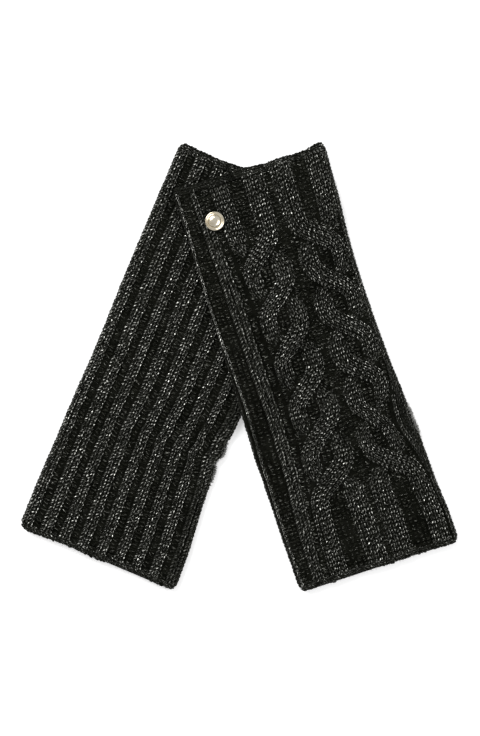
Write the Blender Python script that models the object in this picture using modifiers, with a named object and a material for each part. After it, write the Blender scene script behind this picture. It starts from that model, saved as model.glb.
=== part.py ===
"""A pair of knitted arm warmers laid flat and crossed, in metres, +Z up.

Each warmer is a flat tube of two knitted panels, one with cables and one with ribs,
which meet at the two side folds. A welt finishes each open end, and a thumb slit is
left open in the right-hand seam. The under warmer lies on the table, ribs up. The over
warmer lies across it, cables up, and comes down to the table past the edges of the
under one. Both tops are the arm ends, and both bottoms are the hand ends.
"""

import math
from dataclasses import dataclass
from typing import NamedTuple

import bmesh
import bpy

MM = 0.001

# The laid fabric, from the table up: a wall, the hollow of the tube, and a wall
WALL = 2.4 * MM
HOLLOW = 0.9 * MM
GAP = 0.3 * MM
SEAM_HEIGHT = WALL + HOLLOW / 2
TOP_HEIGHT = 2 * WALL + HOLLOW

# The side folds
FOLD_DEPTH = 2.85 * MM
FOLD_ANGLES = (0, 30, 60, 90)

# The open ends
ARM_WELT = 4.5 * MM
HAND_WELT = 6.0 * MM
CORNER_RADIUS = 3.5 * MM
ROLL_DEPTH = 0.7 * MM
ROLL_LENGTH = 1.6 * MM
MOUTH_GAPE = 0.9 * MM
GAPE_REACH = 14 * MM
ARM_BOW = 2.3 * MM
BOW_REACH = 45 * MM

# The thumb slit
SLIT_LENGTH = 46 * MM
SLIT_HEIGHT = 1.4 * MM
SLIT_REACH = 9 * MM

# Ribs and cables that stand out of the upper panels
RIB_RISE = 0.9 * MM
GUTTER_FLOOR = 1.3 * MM
GUTTER_TOP = 3.4 * MM
RIB_GUTTERS = (0.096, 0.219, 0.333, 0.452, 0.565, 0.680, 0.791, 0.905)
CABLE_RISE = 1.2 * MM
CABLE_CROWN = 0.4 * MM
CABLE_SLOPE = 0.012
PURL_COLUMN = 0.065
STRAND_SHARES = (0.18, 0.36)

# The crossings of the two strands in each rope, as shares of the length
CROSSING_FIRST = 0.200
CROSSING_PITCH = 0.1117
CROSSING_COUNT = 6
PIT_RISE = 0.2 * MM

# How the over warmer comes down from the under one
DRAPE_START = 1.0 * MM
DRAPE_LENGTH = 17 * MM

# The metal stud, with its place on the over warmer as shares of the width and length
STUD_RADIUS = 6.0 * MM
STUD_RIM = 1.0 * MM
STUD_DOME = 2.0 * MM
STUD_STEPS = 36
STUD_ARC_STEPS = 6
STUD_EDGE = (0.7, 0.3)
STUD_ACROSS = 0.197
STUD_ALONG = 0.101

# How far apart the sections stand, and where the even steps past the crossings begin,
# as shares of the length
UNDER_STEP = CROSSING_PITCH * 0.75
OVER_STEP = CROSSING_PITCH / 4
END_STEP = 0.06
UNDER_END_FROM = 0.84
OVER_END_FROM = 0.80
SLIT_CLEARANCE = 1.2

YARN_COLOUR = (0.017, 0.017, 0.014)
WELT_COLOUR = (0.011, 0.011, 0.009)
METAL_COLOUR = (0.78, 0.77, 0.74)
YARN_ROUGHNESS = 0.9
METAL_ROUGHNESS = 0.15
SHARP_ANGLE = 40


class EdgeRow(NamedTuple):
    """How far the two sides stand out of straight lines, at a share of the length."""

    along: float
    left: float
    right: float


class CableRow(NamedTuple):
    """Where the narrow rib and the two ropes start and end, as shares of the width."""

    along: float
    rib_start: float
    rib_end: float
    left_start: float
    left_end: float
    right_start: float
    right_end: float


CABLE_ROWS = (
    CableRow(0.00, 0.105, 0.185, 0.225, 0.573, 0.620, 0.955),
    CableRow(0.15, 0.107, 0.192, 0.235, 0.576, 0.626, 0.955),
    CableRow(0.30, 0.125, 0.216, 0.275, 0.582, 0.652, 0.955),
    CableRow(0.55, 0.140, 0.232, 0.280, 0.587, 0.652, 0.952),
    CableRow(0.68, 0.138, 0.226, 0.265, 0.580, 0.640, 0.920),
    CableRow(0.80, 0.110, 0.198, 0.226, 0.574, 0.612, 0.950),
    CableRow(1.00, 0.095, 0.172, 0.200, 0.573, 0.605, 0.955),
)


@dataclass(frozen=True)
class Warmer:
    """One warmer's outline on the table: its corners in metres, and its side bows."""

    name: str
    arm_left: tuple
    arm_right: tuple
    hand_left: tuple
    hand_right: tuple
    edges: tuple
    slit_along: float
    arm_gape: float
    hand_gape: float

    @property
    def length(self):
        return (math.dist(self.arm_left, self.hand_left) + math.dist(self.arm_right, self.hand_right)) / 2


UNDER = Warmer(
    name="under",
    arm_left=(-37.0 * MM, 141.6 * MM),
    arm_right=(59.9 * MM, 105.6 * MM),
    hand_left=(-138.6 * MM, -99.6 * MM),
    hand_right=(-40.6 * MM, -141.0 * MM),
    edges=(
        EdgeRow(0.00, 0.0, 0.0),
        EdgeRow(0.35, 0.0, -1.0 * MM),
        EdgeRow(0.60, 0.0, -3.3 * MM),
        EdgeRow(0.72, 0.0, -4.8 * MM),
        EdgeRow(0.79, 0.0, -4.2 * MM),
        EdgeRow(0.85, 0.0, -2.7 * MM),
        EdgeRow(0.91, 0.0, -1.1 * MM),
        EdgeRow(1.00, 0.0, -0.2 * MM),
    ),
    slit_along=0.68,
    arm_gape=0.0,
    hand_gape=MOUTH_GAPE,
)

OVER = Warmer(
    name="over",
    arm_left=(-42.8 * MM, 111.3 * MM),
    arm_right=(53.6 * MM, 142.2 * MM),
    hand_left=(38.5 * MM, -142.0 * MM),
    hand_right=(138.6 * MM, -108.9 * MM),
    edges=(
        EdgeRow(0.00, 0.0, -0.4 * MM),
        EdgeRow(0.10, -0.4 * MM, -2.2 * MM),
        EdgeRow(0.19, -0.4 * MM, -4.1 * MM),
        EdgeRow(0.31, 0.0, -5.5 * MM),
        EdgeRow(0.43, 0.5 * MM, -5.6 * MM),
        EdgeRow(0.55, 1.0 * MM, -5.2 * MM),
        EdgeRow(0.67, 1.4 * MM, -3.6 * MM),
        EdgeRow(0.73, 1.2 * MM, -2.4 * MM),
        EdgeRow(0.85, 0.7 * MM, -1.7 * MM),
        EdgeRow(0.92, 0.4 * MM, -0.3 * MM),
        EdgeRow(1.00, 0.0, 0.0),
    ),
    slit_along=0.68,
    arm_gape=MOUTH_GAPE,
    hand_gape=MOUTH_GAPE,
)


def clear_scene():
    for old in list(bpy.data.objects):
        bpy.data.objects.remove(old)


def blend(start, end, share):
    return start + (end - start) * share


def ease(share):
    """From 0 to 1, level at both ends."""
    share = min(max(share, 0.0), 1.0)
    return share * share * (3 - 2 * share)


def slope_at(rows, place, column):
    """The steepness of a column of the table at one of its rows."""
    before = rows[max(place - 1, 0)]
    after = rows[min(place + 1, len(rows) - 1)]
    return (getattr(after, column) - getattr(before, column)) / (after.along - before.along)


def read_rows(rows, column, along):
    """A column's value at a share of the length, on a smooth curve through the rows."""
    place = max(i for i, row in enumerate(rows[:-1]) if row.along <= along)
    start, end = rows[place], rows[place + 1]
    span = end.along - start.along
    t = (along - start.along) / span
    value = blend(getattr(start, column), getattr(end, column), ease(t))
    value += t * (1 - t) ** 2 * span * slope_at(rows, place, column)
    value -= t * t * (1 - t) * span * slope_at(rows, place + 1, column)
    return value


def corner_inset(warmer, along):
    """How far a side draws in near an open end, so that the corner is round."""
    from_end = min(along, 1 - along) * warmer.length
    short = max(CORNER_RADIUS - from_end, 0.0)
    return CORNER_RADIUS - math.sqrt(CORNER_RADIUS**2 - short**2)


def side_point(warmer, side, along):
    """The outermost point of the left or right fold, on the table."""
    start = getattr(warmer, f"arm_{side}")
    end = getattr(warmer, f"hand_{side}")
    run_x, run_y = end[0] - start[0], end[1] - start[1]
    run = math.hypot(run_x, run_y)
    outward = 1 if side == "right" else -1
    out = read_rows(warmer.edges, side, along) - corner_inset(warmer, along)
    x = blend(start[0], end[0], along) - outward * out * run_y / run
    y = blend(start[1], end[1], along) + outward * out * run_x / run
    return x, y


def width_at(warmer, along):
    return math.dist(side_point(warmer, "left", along), side_point(warmer, "right", along))


def plan_point(warmer, across, along):
    """The point of the table under a share of the width and of the length.

    The arm end is drawn in between its corners, and the rows of knit near it follow.
    """
    drawn_in = ARM_BOW * math.sqrt(math.sin(math.pi * across))
    along += drawn_in / warmer.length * (1 - ease(along * warmer.length / BOW_REACH))
    left = side_point(warmer, "left", along)
    right = side_point(warmer, "right", along)
    return blend(left[0], right[0], across), blend(left[1], right[1], across)


def past_edge(point, start, end):
    """How far a point lies beyond a line, to the left of its direction."""
    run_x, run_y = end[0] - start[0], end[1] - start[1]
    off_x, off_y = point[0] - start[0], point[1] - start[1]
    return (run_x * off_y - run_y * off_x) / math.hypot(run_x, run_y)


def lift_at(warmer, point):
    """How high a warmer's underside is over the table at a point."""
    if warmer is UNDER:
        return 0.0
    past_top = past_edge(point, UNDER.arm_left, UNDER.arm_right)
    past_right = past_edge(point, UNDER.hand_right, UNDER.arm_right) * -1
    past = max(past_top, past_right)
    if past_top > 0 and past_right > 0:
        past = math.hypot(past_top, past_right)
    return (TOP_HEIGHT + RIB_RISE + GAP) * (1 - ease((past - DRAPE_START) / DRAPE_LENGTH))


def slit_opening(warmer, along):
    """How far the thumb slit stands open, which is most at its middle."""
    off = abs(along - warmer.slit_along) * warmer.length / SLIT_LENGTH
    return SLIT_HEIGHT * math.cos(math.pi * off) ** 2 if off < 0.5 else 0.0


def extra_hollow(warmer, across, along):
    """What the hollow gains at the open ends and beside the thumb slit."""
    gape = warmer.arm_gape * math.exp(-((along * warmer.length / GAPE_REACH) ** 2))
    gape += warmer.hand_gape * math.exp(-(((1 - along) * warmer.length / GAPE_REACH) ** 2))
    from_right = (1 - across) * width_at(warmer, along)
    slit = slit_opening(warmer, along) / 2 * math.exp(-((from_right / SLIT_REACH) ** 2))
    return gape * math.sin(math.pi * across) ** 0.5 + slit


def rib_columns(warmer, along):
    """(share of the width, rise) across the ribbed panel, four columns to a gutter."""
    width = width_at(warmer, along)
    steps = ((-GUTTER_TOP, RIB_RISE), (-GUTTER_FLOOR, 0.0), (GUTTER_FLOOR, 0.0), (GUTTER_TOP, RIB_RISE))
    return [(gutter + off / width, rise) for gutter in RIB_GUTTERS for off, rise in steps]


def crossing_rise(along):
    """A rope's height at its middle: high at each crossing, low between and beyond them."""
    turns = (along - CROSSING_FIRST) / CROSSING_PITCH
    if not -0.5 < turns < CROSSING_COUNT - 0.5:
        return 0.0
    return blend(PIT_RISE, CABLE_RISE + CABLE_CROWN, math.cos(math.pi * turns) ** 2)


def cable_columns(warmer, along):
    """(share of the width, rise) across the cable panel: the purl band, rib and ropes."""
    edge, crown = STRAND_SHARES[1], STRAND_SHARES[0]
    strands = [(crown, CABLE_RISE + CABLE_CROWN), (edge, CABLE_RISE), (0.5, crossing_rise(along))]
    strands += [(1 - share, rise) for share, rise in reversed(strands[:2])]
    columns = [(PURL_COLUMN, 0.0)]
    for band in ("rib", "left", "right"):
        start = read_rows(CABLE_ROWS, f"{band}_start", along)
        end = read_rows(CABLE_ROWS, f"{band}_end", along)
        columns += [(start - CABLE_SLOPE, 0.0), (start, CABLE_RISE)]
        if band != "rib":
            columns += [(blend(start, end, share), rise) for share, rise in strands]
        columns += [(end, CABLE_RISE), (end + CABLE_SLOPE, 0.0)]
    return columns


def plain_columns(count):
    """Evenly spaced columns with no rise."""
    return [((i + 1) / (count + 1), 0.0) for i in range(count)]


def end_roll(warmer, along):
    """How far the outer faces draw in where a welt rolls over at an open end."""
    from_end = min(along, 1 - along) * warmer.length
    return ROLL_DEPTH * (1 - ease(from_end / ROLL_LENGTH))


def upper_ring(warmer, along, columns, inner_count):
    """One section of an upper panel, as (share of the width, height) round its wall."""
    width = width_at(warmer, along)
    fold, wall = FOLD_DEPTH / width, WALL / width
    lips = (SEAM_HEIGHT + GAP / 2, SEAM_HEIGHT + GAP / 2 + slit_opening(warmer, along) / 2)

    def inner(across):
        return WALL + HOLLOW + extra_hollow(warmer, across, along)

    def outer(across, rise):
        return inner(across) + WALL + rise - end_roll(warmer, along)

    ring = []
    for angle in map(math.radians, FOLD_ANGLES):
        across = fold * (1 - math.cos(angle))
        ring.append((across, blend(lips[0], outer(fold, 0.0), math.sin(angle))))
    ring += [(across, outer(across, rise)) for across, rise in columns if fold < across < 1 - fold]
    for angle in map(math.radians, reversed(FOLD_ANGLES)):
        across = 1 - fold * (1 - math.cos(angle))
        ring.append((across, blend(lips[1], outer(1 - fold, 0.0), math.sin(angle))))
    ring += [(1 - wall, lips[1]), (1 - fold, inner(1 - fold))]
    ring += [(across, inner(across)) for across, _ in reversed(plain_columns(inner_count))]
    ring += [(fold, inner(fold)), (wall, lips[0])]
    return ring


def lower_ring(warmer, along, columns, inner_count):
    """One section of a lower panel, whose outer face is flat where it rests."""
    width = width_at(warmer, along)
    fold, wall = FOLD_DEPTH / width, WALL / width
    lips = (SEAM_HEIGHT - GAP / 2, SEAM_HEIGHT - GAP / 2 - slit_opening(warmer, along) / 4)
    roll = end_roll(warmer, along)
    ring = []
    for angle in map(math.radians, FOLD_ANGLES):
        ring.append((fold * (1 - math.cos(angle)), blend(lips[0], roll, math.sin(angle))))
    ring += [(across, roll) for across, _ in columns]
    for angle in map(math.radians, reversed(FOLD_ANGLES)):
        ring.append((1 - fold * (1 - math.cos(angle)), blend(lips[1], roll, math.sin(angle))))
    ring += [(1 - wall, lips[1]), (1 - fold, WALL)]
    ring += [(across, WALL) for across, _ in reversed(plain_columns(inner_count))]
    ring += [(fold, WALL), (wall, lips[0])]
    return ring


def finish(name, points, colour, roughness, metallic=0.0):
    """Gives the mesh its object, its own material and smooth faces."""
    mesh = bpy.data.meshes.new(name)
    points.to_mesh(mesh)
    points.free()
    mesh.shade_smooth()
    mesh.set_sharp_from_angle(angle=math.radians(SHARP_ANGLE))
    material = bpy.data.materials.new(f"{name}_finish")
    material.use_nodes = True
    shader = material.node_tree.nodes["Principled BSDF"]
    shader.inputs["Base Color"].default_value = (*colour, 1.0)
    shader.inputs["Roughness"].default_value = roughness
    shader.inputs["Metallic"].default_value = metallic
    mesh.materials.append(material)
    piece = bpy.data.objects.new(name, mesh)
    bpy.data.collections["arm_warmers"].objects.link(piece)
    return piece


def close_end(points, loop, ring):
    """Closes an end of a wall with a strip between its outer and its inner face.

    The arm ends are bowed, so facing ends are split in order across to keep their gap.
    """
    shares = [across for across, _ in ring]
    turn = shares.index(max(shares)) + 1
    outer = list(range(turn))
    inner = list(range(len(loop) - 1, turn - 1, -1))
    while len(outer) > 1 or len(inner) > 1:
        inner_done = len(inner) == 1
        if inner_done or (len(outer) > 1 and shares[outer[1]] <= shares[inner[1]]):
            points.faces.new((loop[outer[0]], loop[outer[1]], loop[inner[0]]))
            outer.pop(0)
        else:
            points.faces.new((loop[outer[0]], loop[inner[1]], loop[inner[0]]))
            inner.pop(0)


def loft(name, warmer, rings, colour):
    """Skins closed sections, each (share of the length, ring), into one closed wall.

    Every ring starts at the left fold and runs over its outer face first, so that facing
    panels are split along the same diagonals and keep their gap.
    """
    points = bmesh.new()
    loops = []
    for along, ring in rings:
        loop = []
        for across, height in ring:
            x, y = plan_point(warmer, across, along)
            loop.append(points.verts.new((x, y, height + lift_at(warmer, (x, y)))))
        loops.append(loop)
    for one, two in zip(loops, loops[1:]):
        for i in range(len(one)):
            j = (i + 1) % len(one)
            points.faces.new((one[i], one[j], two[j]))
            points.faces.new((one[i], two[j], two[i]))
    for end in (0, -1):
        close_end(points, loops[end], rings[end][1])
    bmesh.ops.recalc_face_normals(points, faces=points.faces)
    return finish(name, points, colour, YARN_ROUGHNESS)


def spaced(start, end, step):
    """Shares of the length from start to end, about a step apart."""
    count = max(1, round((end - start) / step))
    return [blend(start, end, i / count) for i in range(count + 1)]


def body_stations(warmer, step, end_from):
    """Where a panel has its sections: a step apart to end_from, then END_STEP apart."""
    start = (ARM_WELT + GAP) / warmer.length
    end = 1 - (HAND_WELT + GAP) / warmer.length
    half_slit = SLIT_LENGTH / 2 / warmer.length
    slit = spaced(warmer.slit_along - half_slit, warmer.slit_along + half_slit, half_slit / 2)
    first = CROSSING_FIRST - step * math.floor((CROSSING_FIRST - start) / step - 0.5)
    count = math.ceil((end_from - first) / step)
    places = [start] + [first + step * i for i in range(count)]
    places += spaced(first + step * count, end, END_STEP)
    reach = half_slit * SLIT_CLEARANCE
    clear = [place for place in places if abs(place - warmer.slit_along) > reach]
    return sorted(clear + slit)


def welt_stations(warmer, end):
    """Sections of a welt, closer together round the corner and the roll."""
    length = ARM_WELT if end == "arm" else HAND_WELT
    places = [share / warmer.length for share in (0.0, 0.5 * MM, 1.6 * MM, CORNER_RADIUS, length)]
    return places if end == "arm" else [1 - place for place in reversed(places)]


def make_panel(warmer, kind, layer, body_places, plain_count, inner_count):
    """Builds one knitted panel and the welts at its two ends."""
    shape_ring = upper_ring if layer == "upper" else lower_ring
    relief = {"rib": rib_columns, "cable": cable_columns}[kind]

    def ring_at(along):
        columns = relief(warmer, along) if layer == "upper" else plain_columns(plain_count)
        return along, shape_ring(warmer, along, columns, inner_count)

    name = f"{warmer.name}_{kind}"
    loft(f"{name}_panel", warmer, [ring_at(along) for along in body_places], YARN_COLOUR)
    for end in ("arm", "hand"):
        rings = [ring_at(along) for along in welt_stations(warmer, end)]
        loft(f"{name}_{end}_welt", warmer, rings, WELT_COLOUR)


def make_stud():
    """A plain round domed stud, turned, seated on the narrow rib and the left rope."""
    profile = bmesh.new()
    outline = [(0.0, STUD_RIM + STUD_DOME)]
    for i in range(1, STUD_ARC_STEPS + 1):
        angle = math.pi / 2 * i / STUD_ARC_STEPS
        dome_radius = STUD_RADIUS - STUD_RIM / 2
        outline.append((dome_radius * math.sin(angle), STUD_RIM + STUD_DOME * math.cos(angle)))
    outline += [(STUD_RADIUS, STUD_RIM * share) for share in STUD_EDGE]
    outline += [(STUD_RADIUS - STUD_RIM * STUD_EDGE[1], 0.0), (0.0, 0.0)]
    corners = [profile.verts.new((radius, 0.0, height)) for radius, height in outline]
    for one, two in zip(corners, corners[1:]):
        profile.edges.new((one, two))
    stud = finish("metal_stud", profile, METAL_COLOUR, METAL_ROUGHNESS, metallic=1.0)
    turn = stud.modifiers.new("turn", "SCREW")
    turn.steps = STUD_STEPS
    turn.render_steps = STUD_STEPS
    turn.use_merge_vertices = True
    turn.merge_threshold = 0.01 * MM
    x, y = plan_point(OVER, STUD_ACROSS, STUD_ALONG)
    stud.location = (x, y, lift_at(OVER, (x, y)) + TOP_HEIGHT + CABLE_RISE + 2 * GAP)


def main():
    clear_scene()
    bpy.context.scene.collection.children.link(bpy.data.collections.new("arm_warmers"))
    under_places = body_stations(UNDER, UNDER_STEP, UNDER_END_FROM)
    over_places = body_stations(OVER, OVER_STEP, OVER_END_FROM)
    make_panel(UNDER, "cable", "lower", under_places, plain_count=5, inner_count=5)
    make_panel(UNDER, "rib", "upper", under_places, plain_count=0, inner_count=7)
    make_panel(OVER, "rib", "lower", over_places, plain_count=15, inner_count=11)
    make_panel(OVER, "cable", "upper", over_places, plain_count=0, inner_count=11)
    make_stud()


main()
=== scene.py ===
"""Looks for a pair of knitted arm warmers laid flat and crossed, in metres, +Z up.

Each warmer is a flat tube of two knitted panels, one with cables and one with ribs.
A panel is a relief of ground cloth, rows of knit stitches on its ribs and strands,
purl bumps in its gutters, and a welt at each open end. The stitches, bumps and loose
fibres are made by Geometry Nodes along guide lines that follow the cloth.
"""

import logging
import math
from collections.abc import Callable, Sequence
from dataclasses import dataclass, replace
from enum import Enum
from typing import Any, NamedTuple

import bmesh
import bpy
import numpy as np
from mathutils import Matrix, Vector


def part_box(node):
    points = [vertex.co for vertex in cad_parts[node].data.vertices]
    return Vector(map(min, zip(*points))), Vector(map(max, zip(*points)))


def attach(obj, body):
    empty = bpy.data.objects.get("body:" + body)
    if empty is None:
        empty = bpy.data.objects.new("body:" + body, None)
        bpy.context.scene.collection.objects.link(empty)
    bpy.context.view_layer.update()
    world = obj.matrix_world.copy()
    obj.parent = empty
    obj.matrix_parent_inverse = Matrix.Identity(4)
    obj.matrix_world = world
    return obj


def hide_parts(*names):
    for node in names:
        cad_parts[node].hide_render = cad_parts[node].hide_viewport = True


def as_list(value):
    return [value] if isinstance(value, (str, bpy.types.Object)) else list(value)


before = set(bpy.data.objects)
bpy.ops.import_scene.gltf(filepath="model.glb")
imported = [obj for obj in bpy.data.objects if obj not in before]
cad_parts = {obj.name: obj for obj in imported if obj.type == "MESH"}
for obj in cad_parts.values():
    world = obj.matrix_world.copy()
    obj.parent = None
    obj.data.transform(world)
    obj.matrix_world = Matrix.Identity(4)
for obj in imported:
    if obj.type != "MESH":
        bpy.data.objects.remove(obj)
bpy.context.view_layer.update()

log = logging.getLogger("arm_warmers")

MM = 0.001
Array = np.ndarray
Line = Callable[[Array], Array]
Colour = tuple[float, float, float]
Thing = bpy.types.Object
Socket = bpy.types.NodeSocket

# The laid fabric, from the table up: a wall, the hollow of the tube, and a wall
WALL = 2.4 * MM
HOLLOW = 0.9 * MM
GAP = 0.3 * MM
SEAM_HEIGHT = WALL + HOLLOW / 2
TOP_HEIGHT = 2 * WALL + HOLLOW
FOLD_DEPTH = 2.85 * MM
FOLD_ARC = FOLD_DEPTH * math.pi / 2
RIB_RISE = 0.9 * MM

# The open ends
ARM_WELT = 4.5 * MM
HAND_WELT = 6.0 * MM
CORNER_RADIUS = 4.4 * MM
MOUTH_GAPE = 0.9 * MM
GAPE_REACH = 14 * MM
ARM_BOW = 2.3 * MM
BOW_REACH = 45 * MM
RIPPLE_REACH = 5 * MM
RIPPLE_SIZE = 0.22 * MM
RIPPLE_WAVES = 8.6
TABLE_CLEARANCE = 0.04 * MM

# The thumb slit
SLIT_LENGTH = 46 * MM
SLIT_HEIGHT = 1.4 * MM
SLIT_REACH = 9 * MM

# How the over warmer comes down from the under one
DRAPE_START = 1.0 * MM
DRAPE_LENGTH = 17 * MM

# The knit
ROW_PITCH = 2.43 * MM
STITCH_DEPTH = 0.9 * MM
GROUND_DEPTH = 1.0 * MM
PURL_DEPTH = 0.35 * MM
GROUND_LEVEL = -0.5 * MM
ARM_EDGE = 2.7 * MM
HAND_EDGE = 3.2 * MM
ASIDE = 0.3 * MM
FEWEST_POINTS = 8

# The crossings of the two strands in each rope, as shares of the length
CROSSING_PITCH = 0.1117
CROSSING_COUNT = 6


class Side(Enum):
    """The two long folds of a warmer."""

    LEFT = "left"
    RIGHT = "right"


class Layer(Enum):
    """Which wall of the flat tube a panel is."""

    UPPER = "upper"
    LOWER = "lower"


class Pattern(Enum):
    """The two knitting patterns."""

    RIB = "rib"
    CABLE = "cable"


class End(Enum):
    """The two open ends of a warmer."""

    ARM = "arm"
    HAND = "hand"


class EdgeRow(NamedTuple):
    """How far the two sides stand out of straight lines, at a share of the length."""

    along: float
    left: float
    right: float


class EndRow(NamedTuple):
    """How far the two open ends stand out or in, at a share of the girth."""

    along: float
    arm: float
    hand: float


class CableRow(NamedTuple):
    """Where the narrow rib and the two ropes start and end, as shares of the width."""

    along: float
    rib_start: float
    rib_end: float
    left_start: float
    left_end: float
    right_start: float
    right_end: float


class LineRow(NamedTuple):
    """A point of a line drawn on a panel, as shares of the length and the width."""

    along: float
    across: float


class Crease(NamedTuple):
    """A soft trough or ridge: its middle as shares, its turn, and then its sizes."""

    across: float
    along: float
    turn: float
    length: float
    reach: float
    height: float


class Wisp(NamedTuple):
    """A clump of long fibres at the thumb slit, as shares of the length."""

    middle: float
    spread: float


class FibreZone(NamedTuple):
    """How many loose fibres stand in a part of a panel, given as ranges of shares."""

    count: int
    across: tuple[float, float]
    along: tuple[float, float]


def table(kind: type, shares: int, *rows: tuple[float, ...]) -> tuple[Any, ...]:
    """Makes a table whose rows hold some shares or degrees first, then millimetres."""
    return tuple(kind(*row[:shares], *(size * MM for size in row[shares:])) for row in rows)


def blend(start: Any, end: Any, share: Any) -> Any:
    """Returns the value a share of the way from start to end."""
    return start + (end - start) * share


def ease(share: Any) -> Any:
    """Returns the share, held to 0 to 1 and made level at both ends."""
    share = np.clip(share, 0.0, 1.0)
    return share * share * (3 - 2 * share)


def steady(value: float) -> Line:
    """Returns a line of one value all along a panel."""
    return lambda along: np.full_like(along, value)


def fading(value: float, change: float, place: float, reach: float) -> Line:
    """Returns a line of one value that changes over a reach past a place."""
    return lambda along: value + change * ease((along - place) / reach)


def bump_line(value: float, change: float, start: float, end: float, reach: float) -> Line:
    """Returns a line of one value that changes between two places only."""
    return lambda along: value + change * ease((along - start) / reach) * ease((end - along) / reach)


def moved(line: Line, distance: float) -> Line:
    """Returns a line moved to the right."""
    return lambda along: line(along) + distance


def between(low: Line, high: Line, share: float) -> Line:
    """Returns the line a share of the way from one line to another."""
    return lambda along: blend(low(along), high(along), share)


def middle_of(low: Line, high: Line) -> Line:
    """Returns the line halfway between two lines."""
    return lambda along: (low(along) + high(along)) / 2


def part_of(low: Line, high: Line, parts: int) -> Line:
    """Returns one of some equal parts of the distance between two lines."""
    return lambda along: (high(along) - low(along)) / parts


def read_rows(rows: Sequence[Any], column: str, along: Array) -> Array:
    """Reads a column of a table on a smooth curve through its rows.

    Args:
        rows: The table, in order of its "along" column.
        column: The name of the column to read.
        along: The shares of the length to read it at.

    Returns:
        The column's value at each share.
    """
    places = np.array([row.along for row in rows])
    values = np.array([getattr(row, column) for row in rows])
    index = np.arange(len(rows))
    before, after = np.maximum(index - 1, 0), np.minimum(index + 1, len(rows) - 1)
    slopes = (values[after] - values[before]) / (places[after] - places[before])
    i = np.clip(np.searchsorted(places, along, side="right") - 1, 0, len(rows) - 2)
    span = places[i + 1] - places[i]
    t = np.clip((along - places[i]) / span, 0.0, 1.0)
    value = blend(values[i], values[i + 1], ease(t))
    value += t * (1 - t) ** 2 * span * slopes[i]
    return value - t * t * (1 - t) * span * slopes[i + 1]


def past_edge(points: Array, start: tuple, end: tuple) -> Array:
    """Returns how far points lie beyond a line, to the left of its direction."""
    run_x, run_y = end[0] - start[0], end[1] - start[1]
    off = (points[..., 1] - start[1]) * run_x - (points[..., 0] - start[0]) * run_y
    return off / math.hypot(run_x, run_y)


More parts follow.
